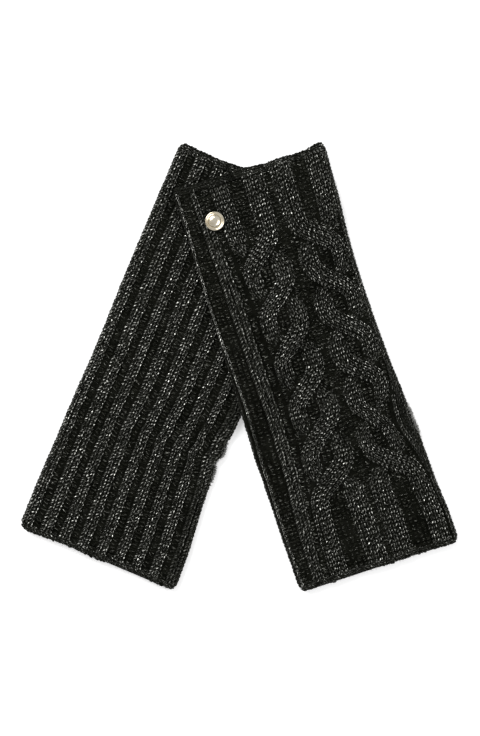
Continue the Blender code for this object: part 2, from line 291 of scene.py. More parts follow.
@dataclass(frozen=True)
class Warmer:
    """One warmer's outline on the table: its corners in metres, and its side bows."""

    name: str
    arm_left: tuple[float, float]
    arm_right: tuple[float, float]
    hand_left: tuple[float, float]
    hand_right: tuple[float, float]
    edges: tuple[EdgeRow, ...]
    ends: tuple[EndRow, ...]
    slit_along: float
    arm_gape: float
    hand_gape: float
    on_top: bool
    wisps: tuple[Wisp, ...]
    creases: tuple[Crease, ...]

    @property
    def length(self) -> float:
        """The warmer's length from end to end."""
        left = math.dist(self.arm_left, self.hand_left)
        return (left + math.dist(self.arm_right, self.hand_right)) / 2

    @property
    def body_range(self) -> tuple[float, float]:
        """Where the panels start and end between the welts, as shares of the length."""
        return (ARM_WELT + GAP) / self.length, 1 - (HAND_WELT + GAP) / self.length

    @property
    def knit_range(self) -> tuple[float, float]:
        """Where the rows of stitches start and end, a little way onto the welts."""
        return ARM_EDGE / self.length, 1 - HAND_EDGE / self.length

    def corner_inset(self, along: Array) -> Array:
        """Returns how far a side draws in near an open end, for a round corner."""
        from_end = np.maximum(np.minimum(along, 1 - along), 0.0) * self.length
        short = np.clip(CORNER_RADIUS - from_end, 0.0, CORNER_RADIUS)
        return CORNER_RADIUS - np.sqrt(CORNER_RADIUS**2 - short**2)

    def side_line(self, side: Side, along: Array) -> Array:
        """Finds the outermost points of a fold.

        Args:
            side: Which fold.
            along: Shares of the length.

        Returns:
            The points on the table, as an array of x and y.
        """
        start = np.array(getattr(self, f"arm_{side.value}"))
        run = np.array(getattr(self, f"hand_{side.value}")) - start
        outward = np.array((-run[1], run[0])) / np.hypot(*run)
        if side is Side.LEFT:
            outward = -outward
        out = read_rows(self.edges, side.value, along) - self.corner_inset(along)
        return start + run * along[..., None] + outward * out[..., None]

    def width(self, along: Array) -> Array:
        """Returns the width from fold to fold."""
        left, right = self.side_line(Side.LEFT, along), self.side_line(Side.RIGHT, along)
        return np.linalg.norm(right - left, axis=-1)

    def plan(self, across: Array, along: Array) -> Array:
        """Finds the points of the table under shares of the width and the length.

        Args:
            across: Shares of the width, from the left fold.
            along: Shares of the length, from the arm end.

        Returns:
            The points, as an array of x and y.
        """
        bow = ARM_BOW * np.sqrt(np.sin(math.pi * np.clip(across, 0.0, 1.0)))
        along = along + bow / self.length * (1 - ease(along * self.length / BOW_REACH))
        left, right = self.side_line(Side.LEFT, along), self.side_line(Side.RIGHT, along)
        return blend(left, right, across[..., None])

    def lift(self, points: Array) -> Array:
        """Returns how high the warmer's underside is over the table at points."""
        if not self.on_top:
            return np.zeros(points.shape[:-1])
        past_top = past_edge(points, UNDER.arm_left, UNDER.arm_right)
        past_right = -past_edge(points, UNDER.hand_right, UNDER.arm_right)
        outside = (past_top > 0) & (past_right > 0)
        past = np.where(outside, np.hypot(past_top, past_right), np.maximum(past_top, past_right))
        return (TOP_HEIGHT + RIB_RISE + GAP) * (1 - ease((past - DRAPE_START) / DRAPE_LENGTH))

    def slit_opening(self, along: Array) -> Array:
        """Returns how far the thumb slit stands open, which is most at its middle."""
        off = np.abs(along - self.slit_along) * self.length / SLIT_LENGTH
        return np.where(off < 0.5, SLIT_HEIGHT * np.cos(math.pi * off) ** 2, 0.0)

    def extra_hollow(self, across: Array, along: Array) -> Array:
        """Returns what the hollow gains at the open ends and beside the slit."""
        gape = self.arm_gape * np.exp(-((along * self.length / GAPE_REACH) ** 2))
        gape = gape + self.hand_gape * np.exp(-(((1 - along) * self.length / GAPE_REACH) ** 2))
        from_right = (1 - across) * self.width(along)
        slit = self.slit_opening(along) / 2 * np.exp(-((from_right / SLIT_REACH) ** 2))
        return gape * np.sqrt(np.sin(math.pi * np.clip(across, 0.0, 1.0))) + slit


UNDER = Warmer(
    name="under",
    arm_left=(-37.0 * MM, 141.6 * MM),
    arm_right=(59.9 * MM, 105.6 * MM),
    hand_left=(-138.6 * MM, -99.6 * MM),
    hand_right=(-40.6 * MM, -141.0 * MM),
    edges=table(
        EdgeRow,
        1,
        (0.00, 0.0, 0.0),
        (0.35, 0.2, -1.0),
        (0.45, -0.3, -1.9),
        (0.56, -0.5, -3.0),
        (0.61, -0.2, -3.7),
        (0.632, 0.0, -4.9),
        (0.658, 0.0, -4.6),
        (0.680, 0.0, -6.7),
        (0.703, 0.1, -5.6),
        (0.722, 0.1, -5.0),
        (0.79, 0.1, -3.8),
        (0.85, 0.3, -2.4),
        (0.91, 0.2, -1.0),
        (1.00, 0.0, -0.2),
    ),
    ends=table(
        EndRow,
        1,
        (0.00, 0.0, 0.0),
        (0.05, 0.5, 0.7),
        (0.17, 0.2, 0.4),
        (0.28, 0.1, -0.9),
        (0.39, 0.6, -0.3),
        (0.48, 0.0, 0.2),
        (0.57, 0.3, -0.5),
        (0.67, 0.0, -1.3),
        (0.77, -0.3, -1.5),
        (0.87, 0.2, -0.5),
        (1.00, 0.0, -0.6),
    ),
    slit_along=0.68,
    arm_gape=0.0,
    hand_gape=MOUTH_GAPE,
    on_top=False,
    wisps=(Wisp(0.654, 0.011), Wisp(0.703, 0.013)),
    creases=table(
        Crease,
        3,
        (0.30, 0.42, 12, 62, 9, -0.55),
        (0.47, 0.47, 4, 40, 7, 0.45),
        (0.62, 0.60, -20, 46, 7, -0.50),
        (0.86, 0.70, 8, 38, 6, -0.70),
        (0.20, 0.80, -10, 52, 8, 0.55),
        (0.72, 0.84, 14, 34, 6, 0.50),
        (0.55, 0.92, 65, 40, 7, 0.60),
        (0.08, 0.60, -3, 44, 6, -0.40),
    ),
)

OVER = Warmer(
    name="over",
    arm_left=(-42.8 * MM, 111.3 * MM),
    arm_right=(53.6 * MM, 142.2 * MM),
    hand_left=(38.5 * MM, -142.0 * MM),
    hand_right=(138.6 * MM, -108.9 * MM),
    edges=table(
        EdgeRow,
        1,
        (0.00, 0.0, -0.4),
        (0.10, -0.4, -2.2),
        (0.19, -0.4, -4.1),
        (0.31, 0.0, -5.7),
        (0.43, 0.5, -5.8),
        (0.55, 1.0, -5.0),
        (0.61, 1.3, -4.0),
        (0.67, 1.7, -3.5),
        (0.698, 1.4, -3.5),
        (0.73, 1.2, -2.5),
        (0.85, 0.7, -1.7),
        (0.92, 0.5, -0.4),
        (1.00, -0.3, -0.3),
    ),
    ends=table(
        EndRow,
        1,
        (0.00, 0.0, -0.4),
        (0.09, 0.3, -0.8),
        (0.17, -0.3, -1.4),
        (0.23, 0.2, -0.6),
        (0.32, 0.4, -1.5),
        (0.45, 0.9, -0.9),
        (0.54, -0.1, -0.3),
        (0.61, -0.9, -0.4),
        (0.68, 0.3, -1.1),
        (0.78, -0.3, -0.4),
        (0.88, -0.4, 0.2),
        (0.93, 0.8, 0.1),
        (1.00, -0.9, -0.6),
    ),
    slit_along=0.68,
    arm_gape=MOUTH_GAPE,
    hand_gape=MOUTH_GAPE,
    on_top=True,
    wisps=(Wisp(0.679, 0.012), Wisp(0.708, 0.009)),
    creases=table(
        Crease,
        3,
        (0.16, 0.08, 40, 36, 7, -0.55),
        (0.45, 0.14, -15, 44, 8, 0.50),
        (0.80, 0.28, 20, 50, 8, -0.45),
        (0.09, 0.55, 4, 64, 6, -0.50),
        (0.62, 0.50, -8, 42, 7, 0.45),
        (0.90, 0.62, 18, 34, 6, -0.65),
        (0.25, 0.72, 25, 38, 6, 0.40),
        (0.35, 0.92, -60, 46, 8, 0.60),
    ),
)


@dataclass(frozen=True)
class PanelForm:
    """The outer face of one panel, which runs from lip to lip round both folds."""

    warmer: Warmer
    layer: Layer

    def girth(self, along: Array) -> Array:
        """Returns the distance round the outer face, from the left lip to the right."""
        return self.warmer.width(along) + 2 * (FOLD_ARC - FOLD_DEPTH)

    def girth_at(self, across: Array, along: Array) -> Array:
        """Returns the distance from the left lip for a share of the width."""
        return across * self.warmer.width(along) + FOLD_ARC - FOLD_DEPTH

    def middle_girth(self) -> float:
        """Returns the distance round the outer face at the middle of the length."""
        return float(self.girth(np.array([0.5]))[0])

    def table_line(self, rows: Sequence[Any], column: str) -> Line:
        """Returns the line that a table's column of shares of the width gives."""
        return lambda along: self.girth_at(read_rows(rows, column, along), along)

    def creased(self, across: Array, along: Array) -> Array:
        """Returns how far the creases raise the cloth."""
        total = np.zeros_like(across)
        for crease in self.warmer.creases:
            off_x = (across - crease.across) * self.warmer.width(along)
            off_y = (along - crease.along) * self.warmer.length
            turn = math.radians(crease.turn)
            beside = off_x * math.cos(turn) + off_y * math.sin(turn)
            forward = off_y * math.cos(turn) - off_x * math.sin(turn)
            shape = np.exp(-((beside / crease.reach) ** 2) - (forward / crease.length * 2) ** 2)
            total += crease.height * shape
        return total

    def place(self, girth: Array, along: Array, height: Array) -> Array:
        """Finds points on or near the panel's outer face.

        Args:
            girth: Distances round the face from the left lip.
            along: Shares of the length.
            height: Distances out of the face.

        Returns:
            The points in space.
        """
        girth, along, height = np.broadcast_arrays(girth, along, height)
        width = self.warmer.width(along)
        from_right = self.girth(along) - girth
        near = np.minimum(girth, from_right)
        angle = np.clip(near, 0.0, FOLD_ARC) / FOLD_DEPTH
        at_fold = FOLD_DEPTH * (1 - np.cos(angle))
        inside = np.where(near < FOLD_ARC, at_fold, near - FOLD_ARC + FOLD_DEPTH)
        inside = inside - np.where(near < FOLD_ARC, np.cos(angle), 0.0) * height
        is_left = girth < from_right
        across = np.where(is_left, inside, width - inside) / width
        fraction = np.where(near < FOLD_ARC, np.sin(angle), 1.0)
        slit = np.where(is_left, 0.0, self.warmer.slit_opening(along))
        points = self.warmer.plan(across, along)
        if self.layer is Layer.UPPER:
            lip = SEAM_HEIGHT + GAP / 2 + slit / 2
            top = TOP_HEIGHT + self.warmer.extra_hollow(np.clip(across, 0.0, 1.0), along)
            top = top + self.creased(across, along)
            level = blend(lip, top, fraction) + fraction * height
            level = level + np.minimum(near, 0.0)
        else:
            lip = SEAM_HEIGHT - GAP / 2 - slit / 4
            level = lip * (1 - fraction) - fraction * height - np.minimum(near, 0.0)
        level = level + self.warmer.lift(points)
        return np.concatenate([points, level[..., None]], axis=-1)


@dataclass(frozen=True)
class Strand:
    """A band of knit wales: a rib, a fold wale or one strand of a rope."""

    centre: Line
    half_width: Line
    wales: int
    crown: float
    drop: float
    start: float = 0.0
    end: float = 1.0
    raised: Line = np.zeros_like
    sparkle: Line = np.ones_like

    def slope(self, along: Array, length: float) -> tuple[Array, Array]:
        """Returns the cosine and sine of the strand's turn from the panel's length."""
        step = 1e-3
        run = (self.centre(along + step) - self.centre(along - step)) / (2 * step * length)
        size = np.hypot(run, 1.0)
        return 1 / size, run / size

    def surface(self, offset: Array, along: Array, length: float) -> tuple[Array, Array, Array]:
        """Finds a line beside the strand's middle.

        Args:
            offset: Distances to the right of the middle.
            along: Shares of the length at the middle.
            length: The panel's length.

        Returns:
            The line's girths, its shares of the length, and its heights.
        """
        cosine, sine = self.slope(along, length)
        girth = self.centre(along) + offset * cosine
        return girth, along - offset * sine / length, self.height(offset, along)

    def height(self, offset: Array, along: Array) -> Array:
        """Returns the height of the strand's surface over the panel's plain level."""
        shape = np.minimum(np.abs(offset) / self.half_width(along), 2.0) ** 2.2
        return self.crown + self.raised(along) - self.drop * shape


@dataclass(frozen=True)
class PurlWale:
    """A column of purl bumps in a gutter."""

    centre: Line
    width: float
    height: float
    start: float = 0.0
    end: float = 1.0
    sparkle: float = 1.0


CABLE_ROWS = (
    CableRow(0.00, 0.098, 0.180, 0.215, 0.568, 0.618, 0.974),
    CableRow(0.15, 0.104, 0.190, 0.230, 0.572, 0.624, 0.976),
    CableRow(0.30, 0.118, 0.216, 0.272, 0.596, 0.652, 0.976),
    CableRow(0.55, 0.136, 0.232, 0.278, 0.598, 0.650, 0.968),
    CableRow(0.68, 0.139, 0.228, 0.266, 0.590, 0.638, 0.882),
    CableRow(0.80, 0.116, 0.206, 0.226, 0.572, 0.610, 0.955),
    CableRow(0.90, 0.098, 0.178, 0.203, 0.566, 0.602, 0.966),
    CableRow(1.00, 0.090, 0.166, 0.196, 0.564, 0.598, 0.964),
)

FOLD_WALE_ROWS = (
    LineRow(0.00, 0.022),
    LineRow(0.07, 0.020),
    LineRow(0.17, 0.008),
    LineRow(0.28, 0.004),
    LineRow(0.36, 0.012),
    LineRow(0.44, 0.026),
    LineRow(0.56, 0.034),
    LineRow(0.74, 0.027),
    LineRow(1.00, 0.023),
)

SLIT_LINE = (
    LineRow(0.585, 0.972),
    LineRow(0.618, 0.915),
    LineRow(0.654, 0.893),
    LineRow(0.708, 0.893),
    LineRow(0.751, 0.920),
    LineRow(0.785, 0.985),
)

RIB_GUTTERS = (0.096, 0.219, 0.333, 0.452, 0.565, 0.680, 0.791, 0.905)
LAST_GUTTER_ROWS = (
    LineRow(0.00, 0.0),
    LineRow(0.52, -0.010),
    LineRow(0.62, -0.018),
    LineRow(0.70, -0.020),
    LineRow(0.755, -0.006),
    LineRow(0.82, -0.002),
    LineRow(1.00, -0.004),
)


def edge_wales(form: PanelForm) -> list[Strand]:
    """Makes the dim wales that run beside the two lips of a panel.

    Args:
        form: The panel's form.

    Returns:
        The two wales.
    """
    inset = 0.95 * MM
    return [
        Strand(
            centre=centre,
            half_width=steady(0.9 * MM),
            wales=1,
            crown=0.25 * MM,
            drop=0.3 * MM,
            sparkle=steady(0.45),
        )
        for centre in (steady(inset), moved(form.girth, -inset))
    ]


@dataclass(frozen=True)
class CablePattern:
    """A narrow rib and two ropes on a purl ground, with a knit wale on each fold."""

    form: PanelForm
    strand_half: float = 6.5 * MM
    strand_share: float = 0.188
    crown: float = 1.9 * MM
    drop: float = 1.5 * MM
    over_sharpness: float = 0.7
    under_sharpness: float = 2.6
    over_spread: float = -0.03
    side_spread: float = 0.06
    left_first: float = 0.208
    right_first: float = 0.207
    over_rise: float = 0.8 * MM
    under_dip: float = 1.7 * MM
    # Painted highlight where a rope strand passes over at a crossing, and painted shade where it dips under
    painted_crossing_light: float = 0.22
    purl_width: float = 3.0 * MM
    purl_level: float = -0.1 * MM

    def across_line(self, column: str) -> Line:
        """Returns the line of a column of the cable table."""
        return self.form.table_line(CABLE_ROWS, column)

    def slit_line(self, along: Array) -> Array:
        """Returns the girth of the pressed line beside the thumb slit."""
        held = np.clip(along, SLIT_LINE[0].along, SLIT_LINE[-1].along)
        return self.form.girth_at(read_rows(SLIT_LINE, "across", held), along)

    def rope_strand(self, rope: str, over_first: bool) -> Strand:
        """Makes one of a rope's two strands.

        Args:
            rope: The rope's name in the table, left or right.
            over_first: Whether the strand passes over at the first crossing.

        Returns:
            The strand.
        """
        first = self.left_first if rope == "left" else self.right_first
        start, end = self.across_line(f"{rope}_start"), self.across_line(f"{rope}_end")
        hand = -1 if rope == "left" else 1
        begin = 0.0 if over_first else math.pi
        dimmed = 0.3 if rope == "left" and not over_first else 0.0

        def phase(along: Array) -> Array:
            """Returns the strand's turn: 0 where it passes over, and pi under."""
            turns = np.clip((along - first) / CROSSING_PITCH, -0.5, CROSSING_COUNT - 0.5)
            return math.pi * turns + begin

        def half(along: Array) -> Array:
            """Returns half the strand's width where it runs beside the other."""
            return np.minimum(self.strand_half, self.strand_share * (end(along) - start(along)))

        def centre(along: Array) -> Array:
            """Returns the strand's middle, which swings across the rope."""
            low, high = start(along), end(along)
            angle = phase(along)
            under = (1 - np.cos(angle)) / 2
            sharpness = blend(self.over_sharpness, self.under_sharpness, under)
            swing = np.tanh(sharpness * np.sin(angle)) / np.tanh(sharpness)
            return (low + high) / 2 + hand * ((high - low) / 2 - half(along)) * swing

        def half_width(along: Array) -> Array:
            """Returns half the strand's width, narrower at the rope's outer side."""
            angle = phase(along)
            spread = 1 + self.over_spread * np.cos(angle) - self.side_spread * np.sin(angle)
            return half(along) * spread

        def raised(along: Array) -> Array:
            """Returns how far the strand rises over the other or dips under it."""
            over = np.cos(phase(along))
            up, down = self.over_rise, self.under_dip
            return (up + down) / 2 * over + (up - down) / 2 * over * over

        def sparkle(along: Array) -> Array:
            """Returns how much of the silvery thread shows and how bright it is: painted highlight where
            the strand passes over, painted shade where it dips under.
            """
            at_arm = 1 - dimmed * ease((0.058 - along) / 0.02)
            return (1.0 + self.painted_crossing_light * np.cos(phase(along))) * at_arm

        return Strand(centre, half_width, 4, self.crown, self.drop, raised=raised, sparkle=sparkle)

    def selvedge(self) -> Strand:
        """Makes the two dim wales between the right rope and the right fold."""
        beside_rope = moved(self.across_line("right_end"), 0.3 * MM)
        beside_lip = moved(self.slit_line, 3.0 * MM + 1.7 * MM)
        outer = moved(self.form.girth, -4.4 * MM)

        def inner(along: Array) -> Array:
            """Returns the wales' left edge, which gives way at the thumb slit."""
            at_slit = ease((along - 0.60) / 0.025) * ease((0.753 - along) / 0.02)
            low = beside_rope(along)
            return blend(low, np.maximum(beside_lip(along), low), at_slit)

        def sparkle(along: Array) -> Array:
            """Returns how much of the silvery thread shows, least at the thumb slit."""
            steps = fading(0.85, -0.22, 0.50, 0.08)(along)
            return steps + bump_line(0.0, -0.28, 0.625, 0.73, 0.02)(along)

        return Strand(
            centre=middle_of(inner, outer),
            half_width=lambda along: np.maximum(part_of(inner, outer, 2)(along), 0.6 * MM),
            wales=2,
            crown=0.35 * MM,
            drop=0.4 * MM,
            start=0.17,
            end=0.82,
            sparkle=sparkle,
        )

    def strands(self) -> list[Strand]:
        """Makes all the bands of knit wales on the panel."""
        rib = self.across_line("rib_start"), self.across_line("rib_end")
        found = edge_wales(self.form)
        found.append(
            Strand(
                centre=self.form.table_line(FOLD_WALE_ROWS, "across"),
                half_width=steady(0.85 * MM),
                wales=1,
                crown=0.9 * MM,
                drop=0.6 * MM,
                sparkle=fading(2.3, -1.0, 0.54, 0.06),
            )
        )
        for share, start, sparkle in ((0.25, 0.0, 0.82), (0.75, 0.118, 0.77)):
            found.append(
                Strand(
                    centre=between(*rib, share),
                    half_width=part_of(*rib, 4),
                    wales=1,
                    crown=1.15 * MM,
                    drop=0.6 * MM,
                    start=start,
                    sparkle=steady(sparkle),
                )
            )
        for rope in ("left", "right"):
            found += [self.rope_strand(rope, True), self.rope_strand(rope, False)]
        found.append(
            Strand(
                centre=moved(self.form.girth, -3.1 * MM),
                half_width=steady(1.5 * MM),
                wales=1,
                crown=0.6 * MM,
                drop=0.6 * MM,
                sparkle=fading(0.8, -0.15, 0.38, 0.06),
            )
        )
        found.append(
            Strand(
                centre=moved(self.slit_line, 3.0 * MM),
                half_width=steady(1.5 * MM),
                wales=1,
                crown=0.55 * MM,
                drop=0.5 * MM,
                start=0.622,
                end=0.748,
                sparkle=steady(0.8),
            )
        )
        found.append(self.selvedge())
        return found

    def purl_wales(self) -> list[PurlWale]:
        """Makes the columns of purl bumps on the panel."""
        lines = {name: self.across_line(name) for name in CableRow._fields[1:]}
        width, level = self.purl_width, self.purl_level
        rib_start, rib_end = lines["rib_start"], lines["rib_end"]
        left_end, right_start = lines["left_end"], lines["right_start"]
        fold = steady(4.4 * MM)
        found = [PurlWale(between(fold, rib_start, share), width, level) for share in (0.14, 0.46, 0.80)]
        rib_gap = between(rib_end, lines["left_start"], 0.45)
        found.append(PurlWale(rib_gap, 3.6 * MM, level, sparkle=1.8))
        for share in (0.60, 0.95):
            found.append(PurlWale(between(rib_start, rib_end, share), width, level, end=0.118))
        for share in (0.05, 0.5, 0.95):
            found.append(PurlWale(between(left_end, right_start, share), width, level - 0.3 * MM))
        for rope in ("left", "right"):
            low, high = lines[f"{rope}_start"], lines[f"{rope}_end"]
            for share, height, sparkle in (
                (0.07, 0.3 * MM, 1.3),
                (0.455, 0.4 * MM, 1.35),
                (0.545, 0.4 * MM, 1.35),
                (0.93, 0.3 * MM, 1.3),
            ):
                found.append(PurlWale(between(low, high, share), width, height, 0.15, 0.81, sparkle))
            inner = moved(low, 2 * self.strand_half), moved(high, -2 * self.strand_half)
            for share in (0.10, 0.37, 0.63, 0.90):
                for start, end in ((0.0, 0.155), (0.805, 1.0)):
                    found.append(PurlWale(between(*inner, share), 2.6 * MM, level, start, end))
        return found

    def sunk(self, girth: Array, along: Array) -> Array:
        """Returns how far the ground is pressed in beside the thumb slit."""
        reach = ease((along - 0.57) / 0.03) * ease((0.755 - along) / 0.05)
        off = girth - self.slit_line(along)
        return -0.5 * MM * reach * np.exp(-((off / (1.2 * MM)) ** 2))


@dataclass(frozen=True)
class RibPattern:
    """Nine ribs of two wales between narrow purl gutters."""

    form: PanelForm
    gutter_half: float = 2.3 * MM
    gutter_depth: float = 0.7 * MM
    gutter_reach: float = 2.0 * MM
    purl_width: float = 4.6 * MM
    first_start: float = 1.8 * MM
    last_end: float = 1.6 * MM
    crown: float = 0.95 * MM
    drop: float = 0.6 * MM

    def gutter_lines(self) -> list[Line]:
        """Makes the gutters' lines, the last of which gives way to the thumb slit."""
        form = self.form
        found = [lambda along, share=share: form.girth_at(share, along) for share in RIB_GUTTERS[:-1]]

        def last(along: Array) -> Array:
            """Returns the last gutter's girth along the panel."""
            shift = read_rows(LAST_GUTTER_ROWS, "across", along)
            return form.girth_at(RIB_GUTTERS[-1] + shift, along)

        return [*found, last]

    def strands(self) -> list[Strand]:
        """Makes the ribs, the last one as two bands of one wale each."""
        lines, half = self.gutter_lines(), self.gutter_half
        lows = [steady(self.first_start), *(moved(line, half) for line in lines)]
        highs = [*(moved(line, -half) for line in lines), moved(self.form.girth, -self.last_end)]
        found = edge_wales(self.form)
        found += [self.rib(low, high, 2, steady(1.0)) for low, high in zip(lows[:-1], highs[:-1])]
        middle = middle_of(lows[-1], highs[-1])
        near_slit = bump_line(0.55, 0.55, 0.60, 0.745, 0.03)
        found.append(self.rib(lows[-1], middle, 1, near_slit))
        found.append(self.rib(middle, highs[-1], 1, steady(0.6)))
        return found

    def rib(self, low: Line, high: Line, wales: int, sparkle: Line) -> Strand:
        """Makes a rib between two lines."""
        middle, half_width = middle_of(low, high), part_of(low, high, 2)
        return Strand(middle, half_width, wales, self.crown, self.drop, sparkle=sparkle)

    def purl_wales(self) -> list[PurlWale]:
        """Makes the gutters' columns of purl bumps."""
        depth = self.gutter_depth
        return [PurlWale(line, self.purl_width, -depth) for line in self.gutter_lines()]

    def sunk(self, girth: Array, along: Array) -> Array:
        """Returns how far the ground is pressed in along the gutters."""
        depth = np.zeros(np.broadcast(girth, along).shape)
        for line in self.gutter_lines():
            shape = np.exp(-(((girth - line(along)) / self.gutter_reach) ** 4))
            depth = np.minimum(depth, -self.gutter_depth * shape)
        return depth


def new_mesh(name: str, points: Array, faces: Sequence[Sequence[int]]) -> bpy.types.Mesh:
    """Makes a smooth mesh from points and faces, with its faces turned outwards.

    Args:
        name: The mesh's name.
        points: The corners, one row each.
        faces: The corner numbers of each face.

    Returns:
        The mesh.
    """
    mesh = bpy.data.meshes.new(name)
    mesh.from_pydata(points.tolist(), [], [list(map(int, face)) for face in faces])
    shape = bmesh.new()
    shape.from_mesh(mesh)
    bmesh.ops.recalc_face_normals(shape, faces=shape.faces)
    shape.to_mesh(mesh)
    shape.free()
    mesh.shade_smooth()
    mesh.update()
    return mesh


def new_object(name: str, mesh: bpy.types.Mesh) -> Thing:
    """Puts a mesh in the scene as an object at the origin."""
    made = bpy.data.objects.new(name, mesh)
    bpy.context.scene.collection.objects.link(made)
    return made


def store(mesh: bpy.types.Mesh, name: str, kind: str, values: Array) -> None:
    """Keeps values on a mesh's points as a named attribute.

    Args:
        mesh: The mesh.
        name: The attribute's name.
        kind: Its type: FLOAT_VECTOR, FLOAT or INT.
        values: Its value at each point.
    """
    made = mesh.attributes.new(name, kind, "POINT")
    field = "vector" if kind == "FLOAT_VECTOR" else "value"
    number = np.int32 if kind == "INT" else np.float32
    made.data.foreach_set(field, values.astype(number).ravel())


class NodeBuilder:
    """Adds nodes to a tree and links them, so that the trees below read in order."""

    def __init__(self, tree: bpy.types.NodeTree) -> None:
        """Keeps the tree that the nodes are added to."""
        self.tree = tree

    @classmethod
    def group(
        cls, name: str, kind: str, inputs: dict[str, tuple[str, Any]], outputs: dict[str, str]
    ) -> tuple["NodeBuilder", Any]:
        """Starts a node group.

        Args:
            name: The group's name.
            kind: The type of its tree.
            inputs: The type and the default value of each input, by name.
            outputs: The type of each output, by name.

        Returns:
            The builder, and the sockets that the group is given.
        """
        tree = bpy.data.node_groups.new(name, kind)
        for key, (form, value) in inputs.items():
            socket = tree.interface.new_socket(key, in_out="INPUT", socket_type=f"NodeSocket{form}")
            if value is not None:
                socket.default_value = value
        for key, form in outputs.items():
            tree.interface.new_socket(key, in_out="OUTPUT", socket_type=f"NodeSocket{form}")
        build = cls(tree)
        return build, build.add("NodeGroupInput").outputs

    @classmethod
    def material(cls, name: str) -> tuple[bpy.types.Material, "NodeBuilder", bpy.types.Node]:
        """Starts a material.

        Args:
            name: The material's name.

        Returns:
            The material, its builder and its shader.
        """
        made = bpy.data.materials.new(name)
        made.use_nodes = True
        return made, cls(made.node_tree), made.node_tree.nodes["Principled BSDF"]

    def add(self, kind: str, inputs: dict[Any, Any] | None = None, **settings: Any) -> bpy.types.Node:
        """Adds one node.

        Args:
            kind: The node's type.
            inputs: Values or output sockets for its inputs, by name or number.
            settings: The node's own properties.

        Returns:
            The node.
        """
        node = self.tree.nodes.new(kind)
        for key, value in settings.items():
            setattr(node, key, value)
        for key, value in (inputs or {}).items():
            self.give(node, key, value)
        return node

    def give(self, node: bpy.types.Node, key: Any, value: Any) -> None:
        """Links an output socket to a node's input, or sets the input to a value."""
        if isinstance(value, Socket):
            self.tree.links.new(value, node.inputs[key])
        else:
            node.inputs[key].default_value = value

    def math(self, operation: str, *values: Any) -> Socket:
        """Adds a math node and returns its output."""
        return self.add("ShaderNodeMath", dict(enumerate(values)), operation=operation).outputs[0]

    def triple(self, x: Any, y: Any, z: Any) -> Socket:
        """Adds a vector of three values and returns it."""
        return self.add("ShaderNodeCombineXYZ", {0: x, 1: y, 2: z}).outputs[0]

    def attribute(self, name: str, kind: str) -> Socket:
        """Adds a named attribute of the geometry and returns it."""
        node = self.add("GeometryNodeInputNamedAttribute", {"Name": name}, data_type=kind)
        return node.outputs[0]

    def random(self, low: Any, high: Any, seed: Socket) -> Socket:
        """Adds a random number for each point and returns it."""
        inputs = {2: low, 3: high, "Seed": seed}
        return self.add("FunctionNodeRandomValue", inputs, data_type="FLOAT").outputs[1]

    def random_triple(self, limit: Socket, seed: Socket, last: float | None = None) -> Socket:
        """Adds a random vector for each point.

        Args:
            limit: The most that each of its parts may be, either way.
            seed: The seed.
            last: The limit of its last part, where that differs.

        Returns:
            The vector.
        """
        back = self.math("MULTIPLY", limit, -1.0)
        low = self.triple(back, back, back if last is None else -last)
        high = self.triple(limit, limit, limit if last is None else last)
        inputs = {0: low, 1: high, "Seed": seed}
        return self.add("FunctionNodeRandomValue", inputs, data_type="FLOAT_VECTOR").outputs[0]

    def copies(self, points: Socket, shape: Socket, facing: Socket, tilt: Socket, scale: Socket) -> Socket:
        """Sets copies of a template on points.

        Args:
            points: The points.
            shape: The template object.
            facing: Which way a copy faces.
            tilt: How far it is turned from there, as three angles.
            scale: Its size.

        Returns:
            The copies.
        """
        turn = self.add("FunctionNodeEulerToRotation", {0: tilt}).outputs[0]
        sockets = {0: facing, 1: turn}
        turned = self.add("FunctionNodeRotateRotation", sockets, rotation_space="LOCAL").outputs[0]
        template = self.add("GeometryNodeObjectInfo", {"Object": shape}).outputs["Geometry"]
        inputs = {"Points": points, "Instance": template, "Rotation": turned, "Scale": scale}
        return self.add("GeometryNodeInstanceOnPoints", inputs).outputs[0]

    def with_glint(self, copies: Socket, seed: Socket) -> Socket:
        """Gives each copy a random number that its material reads.

        Args:
            copies: The copies.
            seed: The seed.

        Returns:
            The copies.
        """
        inputs = {"Geometry": copies, "Name": "glint", "Value": self.random(0.0, 1.0, seed)}
        kind = "GeometryNodeStoreNamedAttribute"
        return self.add(kind, inputs, data_type="FLOAT", domain="INSTANCE").outputs[0]

    def end_tree(self, copies: Socket, finish: Socket) -> bpy.types.NodeTree:
        """Realizes the copies and sets their material.

        Args:
            copies: The copies.
            finish: Their material.

        Returns:
            The finished tree.
        """
        real = self.add("GeometryNodeRealizeInstances", {"Geometry": copies}).outputs[0]
        finished = self.add("GeometryNodeSetMaterial", {"Geometry": real, "Material": finish})
        self.add("NodeGroupOutput", {0: finished.outputs[0]})
        return self.tree

    def mix(self, mask: Socket, first: Any, second: Any) -> Socket:
        """Adds a mix of two colours by a mask and returns it."""
        inputs = {0: mask, 6: first, 7: second}
        return self.add("ShaderNodeMix", inputs, data_type="RGBA").outputs[2]

    def bump(self, height: Socket, distance: float) -> Socket:
        """Adds the bump of a height and returns its normal."""
        inputs = {"Height": height, "Strength": 0.8, "Distance": distance}
        return self.add("ShaderNodeBump", inputs).outputs[0]

    def ranged(self, value: Socket, low: Any, high: Any, **settings: Any) -> Socket:
        """Adds a share of the way of a value from low to high and returns it."""
        inputs = {"Value": value, "From Min": low, "From Max": high}
        return self.add("ShaderNodeMapRange", inputs, **settings).outputs[0]


